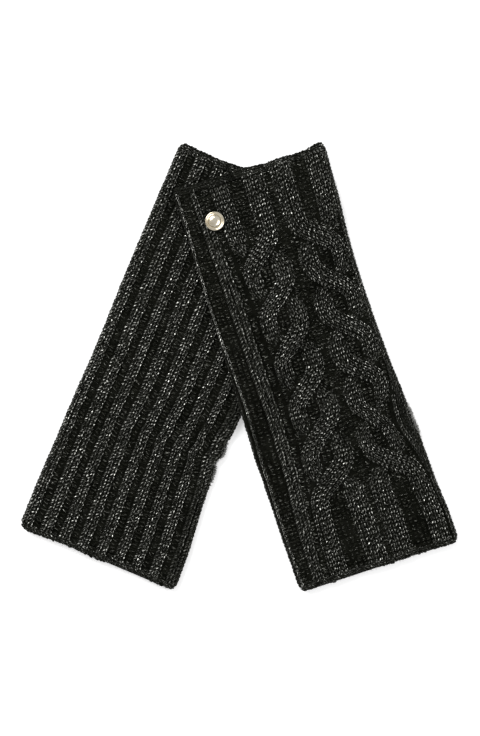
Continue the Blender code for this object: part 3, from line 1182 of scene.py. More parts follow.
def stitch_tree() -> bpy.types.NodeTree:
    """Builds the tree that sets loops of yarn along guide lines.

    Each guide line is cut into as many points as it has rows. A loop stands at each
    point, turned to the line and to the cloth's normal, with small random differences.

    Returns:
        The Geometry Nodes tree.
    """
    inputs = {
        "Guides": ("Geometry", None),
        "First Loop": ("Object", None),
        "Second Loop": ("Object", None),
        "Finish": ("Material", None),
        "Turn": ("Float", 0.1),
        "Size Spread": ("Float", 0.08),
        "Stray": ("Float", 0.1 * MM),
        "Seed": ("Int", 1),
    }
    build, given = NodeBuilder.group("yarn_loops", "GeometryNodeTree", inputs, {"Loops": "Geometry"})
    rows, normal = build.attribute("rows", "INT"), build.attribute("lie", "FLOAT_VECTOR")
    width = build.attribute("loop_width", "FLOAT")
    curves = build.add("GeometryNodeMeshToCurve", {"Mesh": given["Guides"]}).outputs[0]
    cut = build.add("GeometryNodeResampleCurve", {"Curve": curves, "Count": rows}).outputs[0]
    tangent = build.add("GeometryNodeInputTangent").outputs[0]
    joined = build.add("GeometryNodeJoinGeometry")
    low = build.math("SUBTRACT", 1.0, given["Size Spread"])
    high = build.math("ADD", 1.0, given["Size Spread"])
    for place, loop in enumerate(("First Loop", "Second Loop")):
        seed = build.math("MULTIPLY_ADD", given["Seed"], 10.0, float(place * 5))
        seeds = [build.math("ADD", seed, float(i)) for i in range(4)]
        stray = build.random_triple(given["Stray"], seeds[0])
        points = build.add("GeometryNodeSetPosition", {"Geometry": cut, "Offset": stray}).outputs[0]
        axes = {"primary_axis": "Z", "secondary_axis": "Y"}
        facing = build.add("FunctionNodeAxesToRotation", {0: normal, 1: tangent}, **axes).outputs[0]
        tilt = build.random_triple(given["Turn"], seeds[1])
        size = build.random(low, high, seeds[2])
        scale = build.triple(build.math("MULTIPLY", width, size), size, size)
        loops = build.copies(points, given[loop], facing, tilt, scale)
        build.give(joined, 0, build.with_glint(loops, seeds[3]))
    return build.end_tree(joined.outputs[0], given["Finish"])


def fibre_tree() -> bpy.types.NodeTree:
    """Builds the tree that stands loose fibres on scattered points.

    Returns:
        The Geometry Nodes tree.
    """
    inputs = {
        "Roots": ("Geometry", None),
        "Fibre": ("Object", None),
        "Finish": ("Material", None),
        "Turn": ("Float", 0.8),
        "Shortest": ("Float", 0.4),
        "Longest": ("Float", 1.3),
        "Seed": ("Int", 1),
    }
    build, given = NodeBuilder.group("loose_fibres", "GeometryNodeTree", inputs, {"Fibres": "Geometry"})
    normal = {"Vector": build.attribute("lie", "FLOAT_VECTOR")}
    facing = build.add("FunctionNodeAlignRotationToVector", normal, axis="Z").outputs[0]
    tilt = build.random_triple(given["Turn"], given["Seed"], math.pi)
    size_seed = build.math("ADD", given["Seed"], 7.0)
    size = build.random(given["Shortest"], given["Longest"], size_seed)
    fibres = build.copies(given["Roots"], given["Fibre"], facing, tilt, size)
    glint_seed = build.math("ADD", given["Seed"], 13.0)
    return build.end_tree(build.with_glint(fibres, glint_seed), given["Finish"])


@dataclass(frozen=True)
class YarnBit:
    """A short plump length of yarn in millimetres, tapered at both ends."""

    path: tuple[tuple[float, float, float], ...]
    radii: tuple[float, ...]
    sides: int = 6
    flat: float = 0.85

    def build(self, name: str) -> Thing:
        """Makes the yarn round its path.

        Args:
            name: The template object's name.

        Returns:
            The template, with a UV map of its length and its way round.
        """
        path = [Vector(point) * MM for point in self.path]
        shape = bmesh.new()
        uv = shape.loops.layers.uv.new("yarn")
        rings = []
        last = len(path) - 1
        for i, middle in enumerate(path):
            if i in (0, last):
                rings.append([shape.verts.new(middle)])
                continue
            forward = (path[i + 1] - path[i - 1]).normalized()
            side = forward.cross(Vector((0, 0, 1))).normalized()
            up = side.cross(forward)
            ring = []
            for k in range(self.sides):
                angle = 2 * math.pi * k / self.sides
                out = side * math.cos(angle) + up * math.sin(angle) * self.flat
                ring.append(shape.verts.new(middle + out * self.radii[i] * MM))
            rings.append(ring)
        for i, (one, two) in enumerate(zip(rings, rings[1:])):
            for k in range(self.sides):
                j = (k + 1) % self.sides
                corners = [(one[k % len(one)], k, i)]
                if len(one) > 1:
                    corners.append((one[j], k + 1, i))
                if len(two) > 1:
                    corners.append((two[j], k + 1, i + 1))
                corners.append((two[k % len(two)], k, i + 1))
                face = shape.faces.new([corner[0] for corner in corners])
                face.smooth = True
                for loop, (_, around, step) in zip(face.loops, corners):
                    loop[uv].uv = (around / self.sides, step / last)
        bmesh.ops.recalc_face_normals(shape, faces=shape.faces)
        mesh = bpy.data.meshes.new(name)
        shape.to_mesh(mesh)
        shape.free()
        return new_object(name, mesh)


KNIT_WIDTH = 3.3 * MM
LEFT_LEG = YarnBit(
    path=(
        (-0.25, -1.75, -0.35),
        (-0.46, -1.05, 0.05),
        (-0.80, 0.0, 0.28),
        (-1.12, 1.0, 0.08),
        (-1.32, 1.7, -0.35),
    ),
    radii=(0.0, 0.62, 0.80, 0.60, 0.0),
)
RIGHT_LEG = replace(LEFT_LEG, path=tuple((-x, y, z) for x, y, z in LEFT_LEG.path))
LEG_SIDES = {Layer.UPPER: 5, Layer.LOWER: 4}
PURL_BUMP = YarnBit(
    path=(
        (-1.70, -0.50, -0.35),
        (-0.95, 0.05, 0.05),
        (0.0, 0.30, 0.12),
        (0.95, 0.05, 0.05),
        (1.70, -0.50, -0.35),
    ),
    radii=(0.0, 0.56, 0.62, 0.56, 0.0),
    sides=4,
)
PURL_SINK = YarnBit(
    path=(
        (-1.75, 1.45, -0.30),
        (-0.95, 0.95, -0.05),
        (0.0, 0.75, 0.0),
        (0.95, 0.95, -0.05),
        (1.75, 1.45, -0.30),
    ),
    radii=(0.0, 0.50, 0.54, 0.50, 0.0),
    sides=4,
)
FIBRE = YarnBit(
    path=((0.0, 0.0, -0.2), (0.22, 0.05, 0.75), (0.80, 0.22, 1.6)),
    radii=(0.0, 0.048, 0.0),
    sides=3,
    flat=1.0,
)
SLIT_FIBRE = replace(FIBRE, radii=(0.0, 0.13, 0.0))


class SharedEffects:
    """The shader node groups that more than one material uses."""

    def __init__(self) -> None:
        """Builds both groups."""
        self.plied = self.plied_yarn()
        self.fuzz = self.soft_fuzz()

    @staticmethod
    def plied_yarn() -> bpy.types.NodeTree:
        """Builds the twist of the plies and the silvery thread that winds with them.

        Returns:
            A group that puts out the plies' height, where the thread shows, and how
            brightly it shines there as a painted glint.
        """
        build, given = NodeBuilder.group(
            "plied_yarn",
            "ShaderNodeTree",
            {"Thread Share": ("Float", 0.3), "Bare Share": ("Float", 0.1)},
            {"Height": "Float", "Thread": "Float", "Glint": "Float"},
        )
        uv = build.add("ShaderNodeUVMap", uv_map="yarn").outputs[0]
        around, along, _ = build.add("ShaderNodeSeparateXYZ", {0: uv}).outputs
        glint = build.add("ShaderNodeAttribute", attribute_name="glint").outputs["Fac"]
        sparkle = build.add("ShaderNodeAttribute", attribute_name="sparkle").outputs["Fac"]
        wound = build.math("MULTIPLY_ADD", along, 1.6, build.math("MULTIPLY", around, 3.0))
        run = build.math("MULTIPLY_ADD", glint, 83.0, build.math("MULTIPLY", along, 3.6))
        plies = build.math("MULTIPLY_ADD", glint, 7.0, wound)
        turn = build.math("MULTIPLY", plies, 2 * math.pi)
        height, wave = build.math("SINE", turn), build.math("COSINE", turn)
        edge = build.math("MULTIPLY_ADD", given["Thread Share"], -2.0, 1.0)
        thread_end = build.math("ADD", edge, 0.25)
        thread = build.ranged(wave, edge, thread_end, interpolation_type="SMOOTHSTEP")
        streak = build.triple(run, build.math("MULTIPLY", plies, 1.45), 0.0)
        noise = {"Vector": streak, "Scale": 1.0, "Detail": 1.0}
        lit = build.ranged(build.add("ShaderNodeTexNoise", noise).outputs[0], 0.37, 0.68)
        random = build.math("FRACT", build.math("MULTIPLY", glint, 91.7))
        turned = build.math("MULTIPLY_ADD", build.math("POWER", random, 3.0), 0.50, 0.50)
        other = build.math("FRACT", build.math("MULTIPLY", glint, 57.3))
        least = build.math("SUBTRACT", given["Bare Share"], 0.08)
        bare = build.ranged(other, least, build.math("ADD", least, 0.16))
        # The shine is a painted glint: it makes each fleck of the thread's colour brighter or darker,
        # standing in for how it catches the light
        shine = build.math("MULTIPLY", build.math("POWER", lit, 1.6), turned)
        shine = build.math("MULTIPLY", shine, sparkle)
        shown = build.math("MULTIPLY", thread, build.math("MINIMUM", sparkle, 1.0))
        shown = build.math("MULTIPLY", shown, bare)
        build.add("NodeGroupOutput", {0: height, 1: shown, 2: shine})
        return build.tree

    @staticmethod
    def soft_fuzz() -> bpy.types.NodeTree:
        """Builds fine fibres and cloudy patches.

        Returns:
            A group that puts out a height and a patch mask.
        """
        build, given = NodeBuilder.group(
            "soft_fuzz",
            "ShaderNodeTree",
            {"Scale": ("Float", 1000.0)},
            {"Height": "Float", "Patch": "Float"},
        )
        place = build.add("ShaderNodeTexCoord").outputs["Object"]
        fine = {"Vector": place, "Scale": given["Scale"], "Detail": 3.0, "Roughness": 0.7}
        height = build.add("ShaderNodeTexNoise", fine).outputs[0]
        broad_scale = build.math("MULTIPLY", given["Scale"], 0.12)
        broad = {"Vector": place, "Scale": broad_scale, "Detail": 2.0}
        cloud = build.math("MULTIPLY", build.add("ShaderNodeTexNoise", broad).outputs[0], 0.5)
        patch = build.ranged(build.math("MULTIPLY_ADD", height, 0.5, cloud), 0.42, 0.62)
        build.add("NodeGroupOutput", {0: height, 1: patch})
        return build.tree


@dataclass(frozen=True)
class Finish:
    """A finish whose colour wanders between two shades in cloudy patches."""

    name: str
    shade: Colour
    patch_colour: Colour
    fuzz_scale: float

    def start(self, groups: SharedEffects) -> tuple[bpy.types.Material, NodeBuilder, Any, Any, Any]:
        """Starts the material.

        Args:
            groups: The shader node groups that the materials share.

        Returns:
            The material, its builder, its shader, its fuzz and its patchy colour.
        """
        made, build, shader = NodeBuilder.material(self.name)
        fuzz = build.add("ShaderNodeGroup", {"Scale": self.fuzz_scale}, node_tree=groups.fuzz).outputs
        base = build.mix(fuzz["Patch"], (*self.shade, 1), (*self.patch_colour, 1))
        return made, build, shader, fuzz, base


@dataclass(frozen=True)
class YarnFinish(Finish):
    """Dark soft yarn plied with a fine silvery thread."""

    thread: Colour
    thread_share: float
    thread_light: float
    bare_share: float = 0.05

    def material(self, groups: SharedEffects) -> bpy.types.Material:
        """Builds the yarn's material.

        Args:
            groups: The shader node groups that the materials share.

        Returns:
            The material.
        """
        made, build, shader, fuzz, base = self.start(groups)
        shares = {"Thread Share": self.thread_share, "Bare Share": self.bare_share}
        ply = build.add("ShaderNodeGroup", shares, node_tree=groups.plied).outputs
        # Painted glints: the real silvery thread's colour is darkened or brightened fleck by fleck by its
        # shine
        bright = build.math("MULTIPLY", ply["Glint"], self.thread_light)
        light = build.mix(bright, (*self.patch_colour, 1), (*self.thread, 1))
        height = build.math("MULTIPLY_ADD", fuzz["Height"], 0.5, ply["Height"])
        build.give(shader, "Base Color", build.mix(ply["Thread"], base, light))
        build.give(shader, "Roughness", build.math("MULTIPLY_ADD", ply["Thread"], -0.5, 0.88))
        build.give(shader, "Metallic", ply["Thread"])
        build.give(shader, "Normal", build.bump(height, 0.22 * MM))
        build.give(shader, "Specular IOR Level", 0.02)
        return made


@dataclass(frozen=True)
class ShadedClothFinish(Finish):
    """The ground cloth behind the loops: the same yarn seen deep in the knit, coloured darker than the
    loops as painted shade.
    """

    def material(self, groups: SharedEffects) -> bpy.types.Material:
        """Builds the ground cloth's material.

        Args:
            groups: The shader node groups that the materials share.

        Returns:
            The material.
        """
        made, build, shader, fuzz, base = self.start(groups)
        build.give(shader, "Base Color", base)
        build.give(shader, "Normal", build.bump(fuzz["Height"], 0.3 * MM))
        build.give(shader, "Roughness", 0.95)
        build.give(shader, "Specular IOR Level", 0.01)
        return made


@dataclass(frozen=True)
class MetalFinish(Finish):
    """Polished pale metal, whose darker cloudy patches are painted dark reflections."""

    def material(self, groups: SharedEffects) -> bpy.types.Material:
        """Builds the metal's material.

        Args:
            groups: The shader node groups that the materials share.

        Returns:
            The material.
        """
        made, build, shader, fuzz, base = self.start(groups)
        build.give(shader, "Base Color", base)
        build.give(shader, "Roughness", build.math("MULTIPLY_ADD", fuzz["Patch"], 0.16, 0.10))
        build.give(shader, "Metallic", 1.0)
        return made


KNIT_YARN = YarnFinish(
    name="knit_yarn",
    shade=(0.0044, 0.0048, 0.0034),
    patch_colour=(0.018, 0.0188, 0.0145),
    fuzz_scale=1500.0,
    thread=(0.93, 0.935, 0.865),
    thread_share=0.40,
    thread_light=1.0,
)
PURL_YARN = YarnFinish(
    name="purl_yarn",
    shade=(0.0050, 0.0054, 0.0037),
    patch_colour=(0.0175, 0.0182, 0.0135),
    fuzz_scale=1500.0,
    thread=(0.56, 0.565, 0.51),
    thread_share=0.42,
    thread_light=0.55,
    bare_share=0.22,
)
WELT_YARN = YarnFinish(
    name="welt_yarn",
    shade=(0.0050, 0.0053, 0.0039),
    patch_colour=(0.015, 0.0157, 0.0120),
    fuzz_scale=1500.0,
    thread=(0.78, 0.785, 0.73),
    thread_share=0.36,
    thread_light=0.76,
    bare_share=0.12,
)
WISP_YARN = YarnFinish(
    name="wisp_yarn",
    shade=(0.012, 0.0125, 0.0105),
    patch_colour=(0.03, 0.031, 0.027),
    fuzz_scale=1500.0,
    thread=(0.5, 0.5, 0.45),
    thread_share=0.2,
    thread_light=0.5,
)
PALE_YARN = YarnFinish(
    name="pale_wisps",
    shade=(0.42, 0.42, 0.40),
    patch_colour=(0.75, 0.75, 0.72),
    fuzz_scale=1500.0,
    thread=(0.9, 0.9, 0.87),
    thread_share=0.4,
    thread_light=0.9,
)
# The ground cloth's two colours are darker than the yarn's: painted shade deep in the knit, on the welts'
# cloth too
SHADED_GROUND_CLOTH = ShadedClothFinish("shaded_ground_cloth", (0.0028, 0.0030, 0.0021), (0.0075, 0.0078, 0.0058), 900.0)
# The stud's second, darker colour is painted dark reflection, laid in cloudy patches
STUD_METAL = MetalFinish("stud_metal", (0.92, 0.85, 0.70), (0.60, 0.51, 0.35), 260.0)


class GuideLines:
    """Collects guide lines with their attributes, and makes them one mesh of edges."""

    def __init__(self) -> None:
        """Starts with no lines."""
        self.points: list[Array] = []
        self.normals: list[Array] = []
        self.widths: list[Array] = []
        self.sparkles: list[Array] = []
        self.rows: list[Array] = []

    def add(self, points: Array, normals: Array, width: Any, sparkle: Any, rows: int) -> None:
        """Adds one line.

        Args:
            points: Its points in space.
            normals: The cloth's normal at each.
            width: The width of a loop on it, as a share of the template's.
            sparkle: How much of the silvery thread shows at each point, and how brightly its painted glints
                shine.
            rows: How many loops stand on it.
        """
        self.points.append(points)
        self.normals.append(normals)
        self.widths.append(np.broadcast_to(width, (len(points),)))
        self.sparkles.append(np.broadcast_to(sparkle, (len(points),)))
        self.rows.append(np.full(len(points), rows))

    def build(self, name: str) -> Thing:
        """Makes the guide object.

        Args:
            name: The object's name.

        Returns:
            An object of edges, one chain for each line.
        """
        edges, start = [], 0
        for points in self.points:
            edges += [(start + i, start + i + 1) for i in range(len(points) - 1)]
            start += len(points)
        mesh = bpy.data.meshes.new(name)
        mesh.from_pydata(np.concatenate(self.points).tolist(), edges, [])
        store(mesh, "lie", "FLOAT_VECTOR", np.concatenate(self.normals))
        store(mesh, "loop_width", "FLOAT", np.concatenate(self.widths))
        store(mesh, "sparkle", "FLOAT", np.concatenate(self.sparkles))
        store(mesh, "rows", "INT", np.concatenate(self.rows))
        return new_object(name, mesh)


@dataclass(frozen=True)
class LoopStyle:
    """How unevenly loops of one kind are knitted, and their place in the seeds."""

    turn: float
    size_spread: float
    stray: float
    seed_step: int


KNIT_STYLE = LoopStyle(0.13, 0.10, 0.12 * MM, 0)
PURL_STYLE = LoopStyle(0.32, 0.28, 0.38 * MM, 1)
WELT_STYLES = {End.ARM: LoopStyle(0.3, 0.15, 0.25 * MM, 2), End.HAND: LoopStyle(0.3, 0.15, 0.25 * MM, 3)}
FIBRE_SEED_STEP = 4


@dataclass
class Kit:
    """The templates, trees and materials that all the pieces are made with."""

    loops: bpy.types.NodeTree
    fibres: bpy.types.NodeTree
    legs: dict[Layer, tuple[Thing, ...]]
    purl: tuple[Thing, ...]
    fibre: Thing
    slit_fibre: Thing
    finishes: dict[str, bpy.types.Material]

    @classmethod
    def make(cls) -> "Kit":
        """Builds every template, tree and material once."""
        groups = SharedEffects()
        finishes = (KNIT_YARN, PURL_YARN, WELT_YARN, SHADED_GROUND_CLOTH, WISP_YARN, PALE_YARN, STUD_METAL)
        legs = {}
        for layer, sides in LEG_SIDES.items():
            pair = [replace(leg, sides=sides) for leg in (LEFT_LEG, RIGHT_LEG)]
            legs[layer] = tuple(leg.build(f"leg_{layer.value}") for leg in pair)
        return cls(
            loops=stitch_tree(),
            fibres=fibre_tree(),
            legs=legs,
            purl=(PURL_BUMP.build("purl_bump"), PURL_SINK.build("purl_sink")),
            fibre=FIBRE.build("fibre"),
            slit_fibre=SLIT_FIBRE.build("slit_fibre"),
            finishes={finish.name: finish.material(groups) for finish in finishes},
        )

    def run_tree(self, guides: Thing, tree: bpy.types.NodeTree, name: str, values: dict[str, Any]) -> Thing:
        """Runs a tree on a guide object and keeps the result as a plain mesh.

        Args:
            guides: The object that the tree reads. It is removed.
            tree: The Geometry Nodes tree.
            name: The new piece's name.
            values: The tree's inputs, by name.

        Returns:
            The piece.
        """
        modifier = guides.modifiers.new("loops", "NODES")
        modifier.node_group = tree
        items = tree.interface.items_tree
        sockets = {item.name: item.identifier for item in items if item.in_out == "INPUT"}
        for key, value in values.items():
            modifier[sockets[key]] = value
        bpy.context.view_layer.update()
        graph = bpy.context.evaluated_depsgraph_get()
        mesh = bpy.data.meshes.new_from_object(guides.evaluated_get(graph))
        mesh.name = name
        for extra in ("lie", "rows", "loop_width"):
            if extra in mesh.attributes:
                mesh.attributes.remove(mesh.attributes[extra])
        guides.modifiers.remove(modifier)
        bpy.data.objects.remove(guides)
        return new_object(name, mesh)

    def clear_templates(self) -> None:
        """Removes the template objects once the pieces are made."""
        legs = [leg for pair in self.legs.values() for leg in pair]
        for template in (*legs, *self.purl, self.fibre, self.slit_fibre):
            bpy.data.objects.remove(template)


FIBRE_ZONES = (
    FibreZone(900, (0.0, 0.035), (0.003, 0.997)),
    FibreZone(900, (0.965, 1.0), (0.003, 0.997)),
    FibreZone(520, (0.02, 0.98), (0.0, 0.012)),
    FibreZone(620, (0.02, 0.98), (0.985, 1.0)),
    FibreZone(900, (0.03, 0.97), (0.02, 0.98)),
)
HIDDEN_FIBRE_SHARE = 0.6
FIBRE_SIZES = (0.35, 1.15)
WISP_SIZES = (0.6, 1.5)
WISP_COUNT = 400
WISP_SPREAD_ACROSS = 0.009
END_ZONE = 0.02
END_LEAN = 1.6


@dataclass
class Panel:
    """One knitted panel: its ground cloth, stitches, purl bumps and two welts."""

    warmer: Warmer
    pattern: Pattern
    layer: Layer
    kit: Kit
    seed: int
    column_step: float = 1.2 * MM
    station_step: float = 2.3 * MM
    inner_every: int = 4
    guide_step: float = 2.4 * MM
    pressed: float = 0.55
    drift: float = 0.3 * MM
    purl_drift: float = 0.4 * MM
    welt_column_step: float = 1.3 * MM
    welt_loop_pitch: float = 2.1 * MM
    welt_row_first: float = 0.95 * MM
    welt_row_step: float = 1.25 * MM
    welt_loop_rise: float = 0.15 * MM
    welt_under_drop: float = 0.45 * MM
    roll_depth: float = 1.5 * MM
    roll_length: float = 2.0 * MM
    settle_reach: float = 5.5 * MM
    settle_least: float = 0.35

    def __post_init__(self) -> None:
        """Works out the panel's form and its pattern."""
        self.name = f"{self.warmer.name}_{self.pattern.value}"
        self.form = PanelForm(self.warmer, self.layer)
        kinds = {Pattern.CABLE: CablePattern, Pattern.RIB: RibPattern}
        self.knit = kinds[self.pattern](self.form)
        self.strands = self.knit.strands()
        self.random = np.random.default_rng(self.seed)
        self.outward = 1.0 if self.layer is Layer.UPPER else -1.0
        self.top = max(strand.crown for strand in self.strands)

    def level(self, height: Array) -> Array:
        """Returns a height of the pattern as one out of the face, pressed if it lies below."""
        if self.layer is Layer.UPPER:
            return height
        return np.minimum((height - self.top) * self.pressed, 0.0)

    def settled(self, along: Array) -> Array:
        """Returns how much of the pattern's relief is left near the open ends."""
        from_end = np.minimum(along, 1 - along) * self.warmer.length
        return self.settle_least + (1 - self.settle_least) * ease(from_end / self.settle_reach)

    def relief(self, girth: Array, along: Array) -> Array:
        """Finds the height of the ground cloth.

        Args:
            girth: Distances round the face from the left lip.
            along: Shares of the length.

        Returns:
            Heights out of the face.
        """
        flat = np.full(np.broadcast(girth, along).shape, GROUND_LEVEL)
        height = self.level(flat + self.knit.sunk(girth, along))
        for strand in self.strands:
            cosine, _ = strand.slope(along, self.warmer.length)
            offset = (girth - strand.centre(along)) * cosine
            raised = self.level(strand.height(offset, along)) - GROUND_DEPTH
            near = np.abs(offset) < 2 * strand.half_width(along)
            shown = near & (along >= strand.start) & (along <= strand.end)
            height = np.where(shown, np.maximum(height, raised), height)
        return height * self.settled(along)

    def grid(self, stations: Array, step: float) -> tuple[Array, Array, Array]:
        """Lays a grid on the face.

        Args:
            stations: Its rows, as shares of the length.
            step: About how far apart its columns are.

        Returns:
            The columns' shares of the girth, and each point's girth and place along.
        """
        columns = round(self.form.middle_girth() / step / self.inner_every) * self.inner_every
        shares = np.linspace(0.0, 1.0, columns + 1)
        along = stations[:, None] + np.zeros(columns + 1)
        return shares, self.form.girth(along) * shares, along

    def make_ground(self) -> Thing:
        """Makes the ground cloth as one closed thin wall."""
        start, end = self.warmer.body_range
        count = round((end - start) * self.warmer.length / self.station_step)
        _, girth, along = self.grid(np.linspace(start, end, count), self.column_step)
        outer = self.form.place(girth, along, self.relief(girth, along))
        return self.shell(f"{self.name}_cloth", outer, girth, along)

    def shell(self, name: str, outer: Array, girth: Array, along: Array) -> Thing:
        """Closes an outer face into a wall with a plain inner face.

        Args:
            name: The piece's name.
            outer: The outer face's points, by station and column.
            girth: The girth of each point.
            along: The share of the length of each point.

        Returns:
            The piece.
        """
        step = self.inner_every
        inner = self.form.place(girth[:, ::step], along[:, ::step], -WALL)
        points = np.concatenate([outer.reshape(-1, 3), inner.reshape(-1, 3)])
        out = np.arange(outer[..., 0].size).reshape(outer.shape[:2])
        back = out.size + np.arange(inner[..., 0].size).reshape(inner.shape[:2])
        stations, columns, inner_columns = *out.shape, back.shape[1]
        faces = []
        for i in range(stations - 1):
            for j in range(columns - 1):
                faces.append((out[i, j], out[i, j + 1], out[i + 1, j + 1], out[i + 1, j]))
            for j in range(inner_columns - 1):
                faces.append((back[i, j], back[i + 1, j], back[i + 1, j + 1], back[i, j + 1]))
            faces.append((out[i, 0], out[i + 1, 0], back[i + 1, 0], back[i, 0]))
            faces.append((out[i, -1], back[i, -1], back[i + 1, -1], out[i + 1, -1]))
        for i in (0, stations - 1):
            for j in range(inner_columns - 1):
                edge = out[i, j * step : (j + 1) * step + 1]
                faces.append((*edge, back[i, j + 1], back[i, j]))
        piece = new_object(name, new_mesh(name, points, faces))
        # Ground and welt cloth take the darker cloth colour: painted shade between and behind the loops
        piece.data.materials.append(self.kit.finishes[SHADED_GROUND_CLOTH.name])
        return piece

    def wobble(self, along: Array, size: float) -> Array:
        """Returns a slow random drift along a line."""
        total = np.zeros_like(along)
        for waves in (2.3, 5.1, 9.7):
            phase = self.random.uniform(0, 2 * math.pi)
            total += np.sin(2 * math.pi * waves * along + phase) / waves
        return total * size

    def normals(self, points: Array, beside: Array) -> Array:
        """Finds the cloth's outward unit normals along a line.

        Args:
            points: The line.
            beside: The same line moved a little across the cloth.

        Returns:
            The normals.
        """
        normal = np.cross(np.gradient(points, axis=0), beside - points)
        normal /= np.linalg.norm(normal, axis=1, keepdims=True)
        return normal if normal[:, 2].mean() * self.outward > 0 else -normal

    def add_wale(self, guides: GuideLines, strand: Strand, share: float) -> None:
        """Adds the guide line of one wale of knit stitches.

        Args:
            guides: Where the line is added.
            strand: The strand that the wale belongs to.
            share: Where the wale lies in the strand, from -1 at the left edge to 1.
        """
        length = self.warmer.length
        start, end = self.warmer.knit_range
        half_row = 0.5 * ROW_PITCH / length
        start, end = max(start, strand.start) + half_row, min(end, strand.end) - half_row
        rows = round((end - start) * length / ROW_PITCH) + 1
        count = max(FEWEST_POINTS, round((end - start) * length / self.guide_step))
        along = np.linspace(start, end, count)
        offset = share * strand.half_width(along) + self.wobble(along, self.drift)
        line = strand.surface(offset, along, length)
        beside = strand.surface(offset + ASIDE, along, length)
        settled = self.settled(line[1])
        points, aside = (
            self.form.place(girth, place, self.level(height) * settled - STITCH_DEPTH)
            for girth, place, height in (line, beside)
        )
        normals = self.normals(points, aside)
        if self.layer is Layer.LOWER:
            least = self.warmer.lift(points[:, :2]) + STITCH_DEPTH
            points[:, 2] = np.maximum(points[:, 2], least)
        widths = 2 * strand.half_width(along) / strand.wales / KNIT_WIDTH
        guides.add(points, normals, widths, strand.sparkle(along), rows)

    def set_loops(
        self, guides: GuideLines, name: str, pair: tuple[Thing, ...], finish: str, style: LoopStyle
    ) -> Thing:
        """Sets pairs of loops along guide lines.

        Args:
            guides: The lines.
            name: The new piece's name.
            pair: The templates of the two loops.
            finish: The name of the loops' finish.
            style: How unevenly they are knitted.

        Returns:
            The piece.
        """
        values = {
            "First Loop": pair[0],
            "Second Loop": pair[1],
            "Finish": self.kit.finishes[finish],
            "Turn": style.turn,
            "Size Spread": style.size_spread,
            "Stray": style.stray,
            "Seed": self.seed + style.seed_step,
        }
        return self.kit.run_tree(guides.build(f"{name}_guides"), self.kit.loops, name, values)

    def make_stitches(self) -> Thing:
        """Makes the knit stitches on every strand."""
        guides = GuideLines()
        for strand in self.strands:
            for i in range(strand.wales):
                self.add_wale(guides, strand, (2 * i + 1) / strand.wales - 1)
        legs = self.kit.legs[self.layer]
        return self.set_loops(guides, f"{self.name}_stitches", legs, KNIT_YARN.name, KNIT_STYLE)

    def make_purl(self) -> Thing:
        """Makes the purl bumps in the gutters, brighter beside the arm end's welt."""
        guides = GuideLines()
        start, end = self.warmer.knit_range
        for wale in self.knit.purl_wales():
            low, high = max(start, wale.start), min(end, wale.end)
            rows = round((high - low) * self.warmer.length / ROW_PITCH)
            along = np.linspace(low, high, max(FEWEST_POINTS, rows))
            girth = wale.centre(along) + self.wobble(along, self.purl_drift)
            height = self.level(np.full_like(along, wale.height)) * self.settled(along) - PURL_DEPTH
            points = self.form.place(girth, along, height)
            normals = self.normals(points, self.form.place(girth + ASIDE, along, height))
            near_arm = 1 - ease((along * self.warmer.length - 6.0 * MM) / (2.5 * MM))
            sparkle = wale.sparkle * (1 + 0.9 * near_arm)
            guides.add(points, normals, wale.width / KNIT_WIDTH, sparkle, rows)
        return self.set_loops(guides, f"{self.name}_purl", self.kit.purl, PURL_YARN.name, PURL_STYLE)

    def welt_name(self, end: End) -> str:
        """Returns the name of a welt's CAD node."""
        return f"{self.name}_{end.value}_welt"

    def make_welt_cloth(self, end: End) -> Thing:
        """Makes a welt's rolled cloth as one closed wall."""
        depth = ARM_WELT if end is End.ARM else HAND_WELT
        steps = np.array([0.0, 0.35, 0.8, 1.4, 2.2, 3.4, depth / MM]) * MM / self.warmer.length
        stations = steps if end is End.ARM else 1 - steps[::-1]
        shares, girth, along = self.grid(stations, self.welt_column_step)
        height = self.welt_height(girth, along, end)
        outer = self.form.place(girth, self.rippled(shares, along), height)
        return self.shell(f"{self.welt_name(end)}_cloth", outer, girth, along)

    def make_welt_loops(self, end: End) -> Thing:
        """Makes the rows of loops across a welt."""
        length = self.warmer.length
        guides = GuideLines()
        for i in range(3 if end is End.ARM else 2):
            off = (self.welt_row_first + self.welt_row_step * i) / length
            shares = np.linspace(0.03, 0.97, 160)
            along = np.full(len(shares), off if end is End.ARM else 1 - off)
            along = along + self.wobble(shares, self.drift / length)
            girth = self.form.girth(along) * shares
            height = self.welt_height(girth, along, end) + self.welt_loop_rise
            if self.layer is Layer.LOWER:
                height = height - self.welt_under_drop
            swayed = self.rippled(shares, along)
            points = self.form.place(girth, swayed, height)
            normals = self.normals(points, self.form.place(girth, swayed + ASIDE / length, height))
            run = float(np.linalg.norm(np.diff(points, axis=0), axis=1).sum())
            shown = np.clip((self.body_height(girth, end) + 0.4 * MM) / (1.0 * MM), 0.0, 1.0)
            sparkle = 0.7 + (0.25 + 0.3 * shown) * min(i, 1)
            if self.warmer.on_top and end is End.ARM:
                sparkle = sparkle * blend(0.5, 1.0, ease((shares - 0.38) / 0.16))
            guides.add(points, normals, 0.9, sparkle, round(run / self.welt_loop_pitch))
        name, legs = f"{self.welt_name(end)}_loops", self.kit.legs[self.layer]
        return self.set_loops(guides, name, legs, WELT_YARN.name, WELT_STYLES[end])

    def body_height(self, girth: Array, end: End) -> Array:
        """Returns the height of the pattern where the ground cloth meets a welt."""
        at = np.full_like(girth, self.warmer.body_range[0 if end is End.ARM else 1])
        return self.relief(girth, at) / self.settled(at)

    def welt_height(self, girth: Array, along: Array, end: End) -> Array:
        """Finds the height of a welt's cloth, which carries the ribs on and rolls off.

        Args:
            girth: Distances round the face from the left lip.
            along: Shares of the length.
            end: Which open end.

        Returns:
            Heights out of the face.
        """
        from_end = np.minimum(along, 1 - along) * self.warmer.length
        ribbed = self.body_height(girth, end) * self.settled(along)
        to_flat = 1 - np.clip(from_end / self.roll_length, 0, 1)
        return ribbed - self.roll_depth * (1 - np.sqrt(np.clip(1 - to_flat**2, 0, 1)))

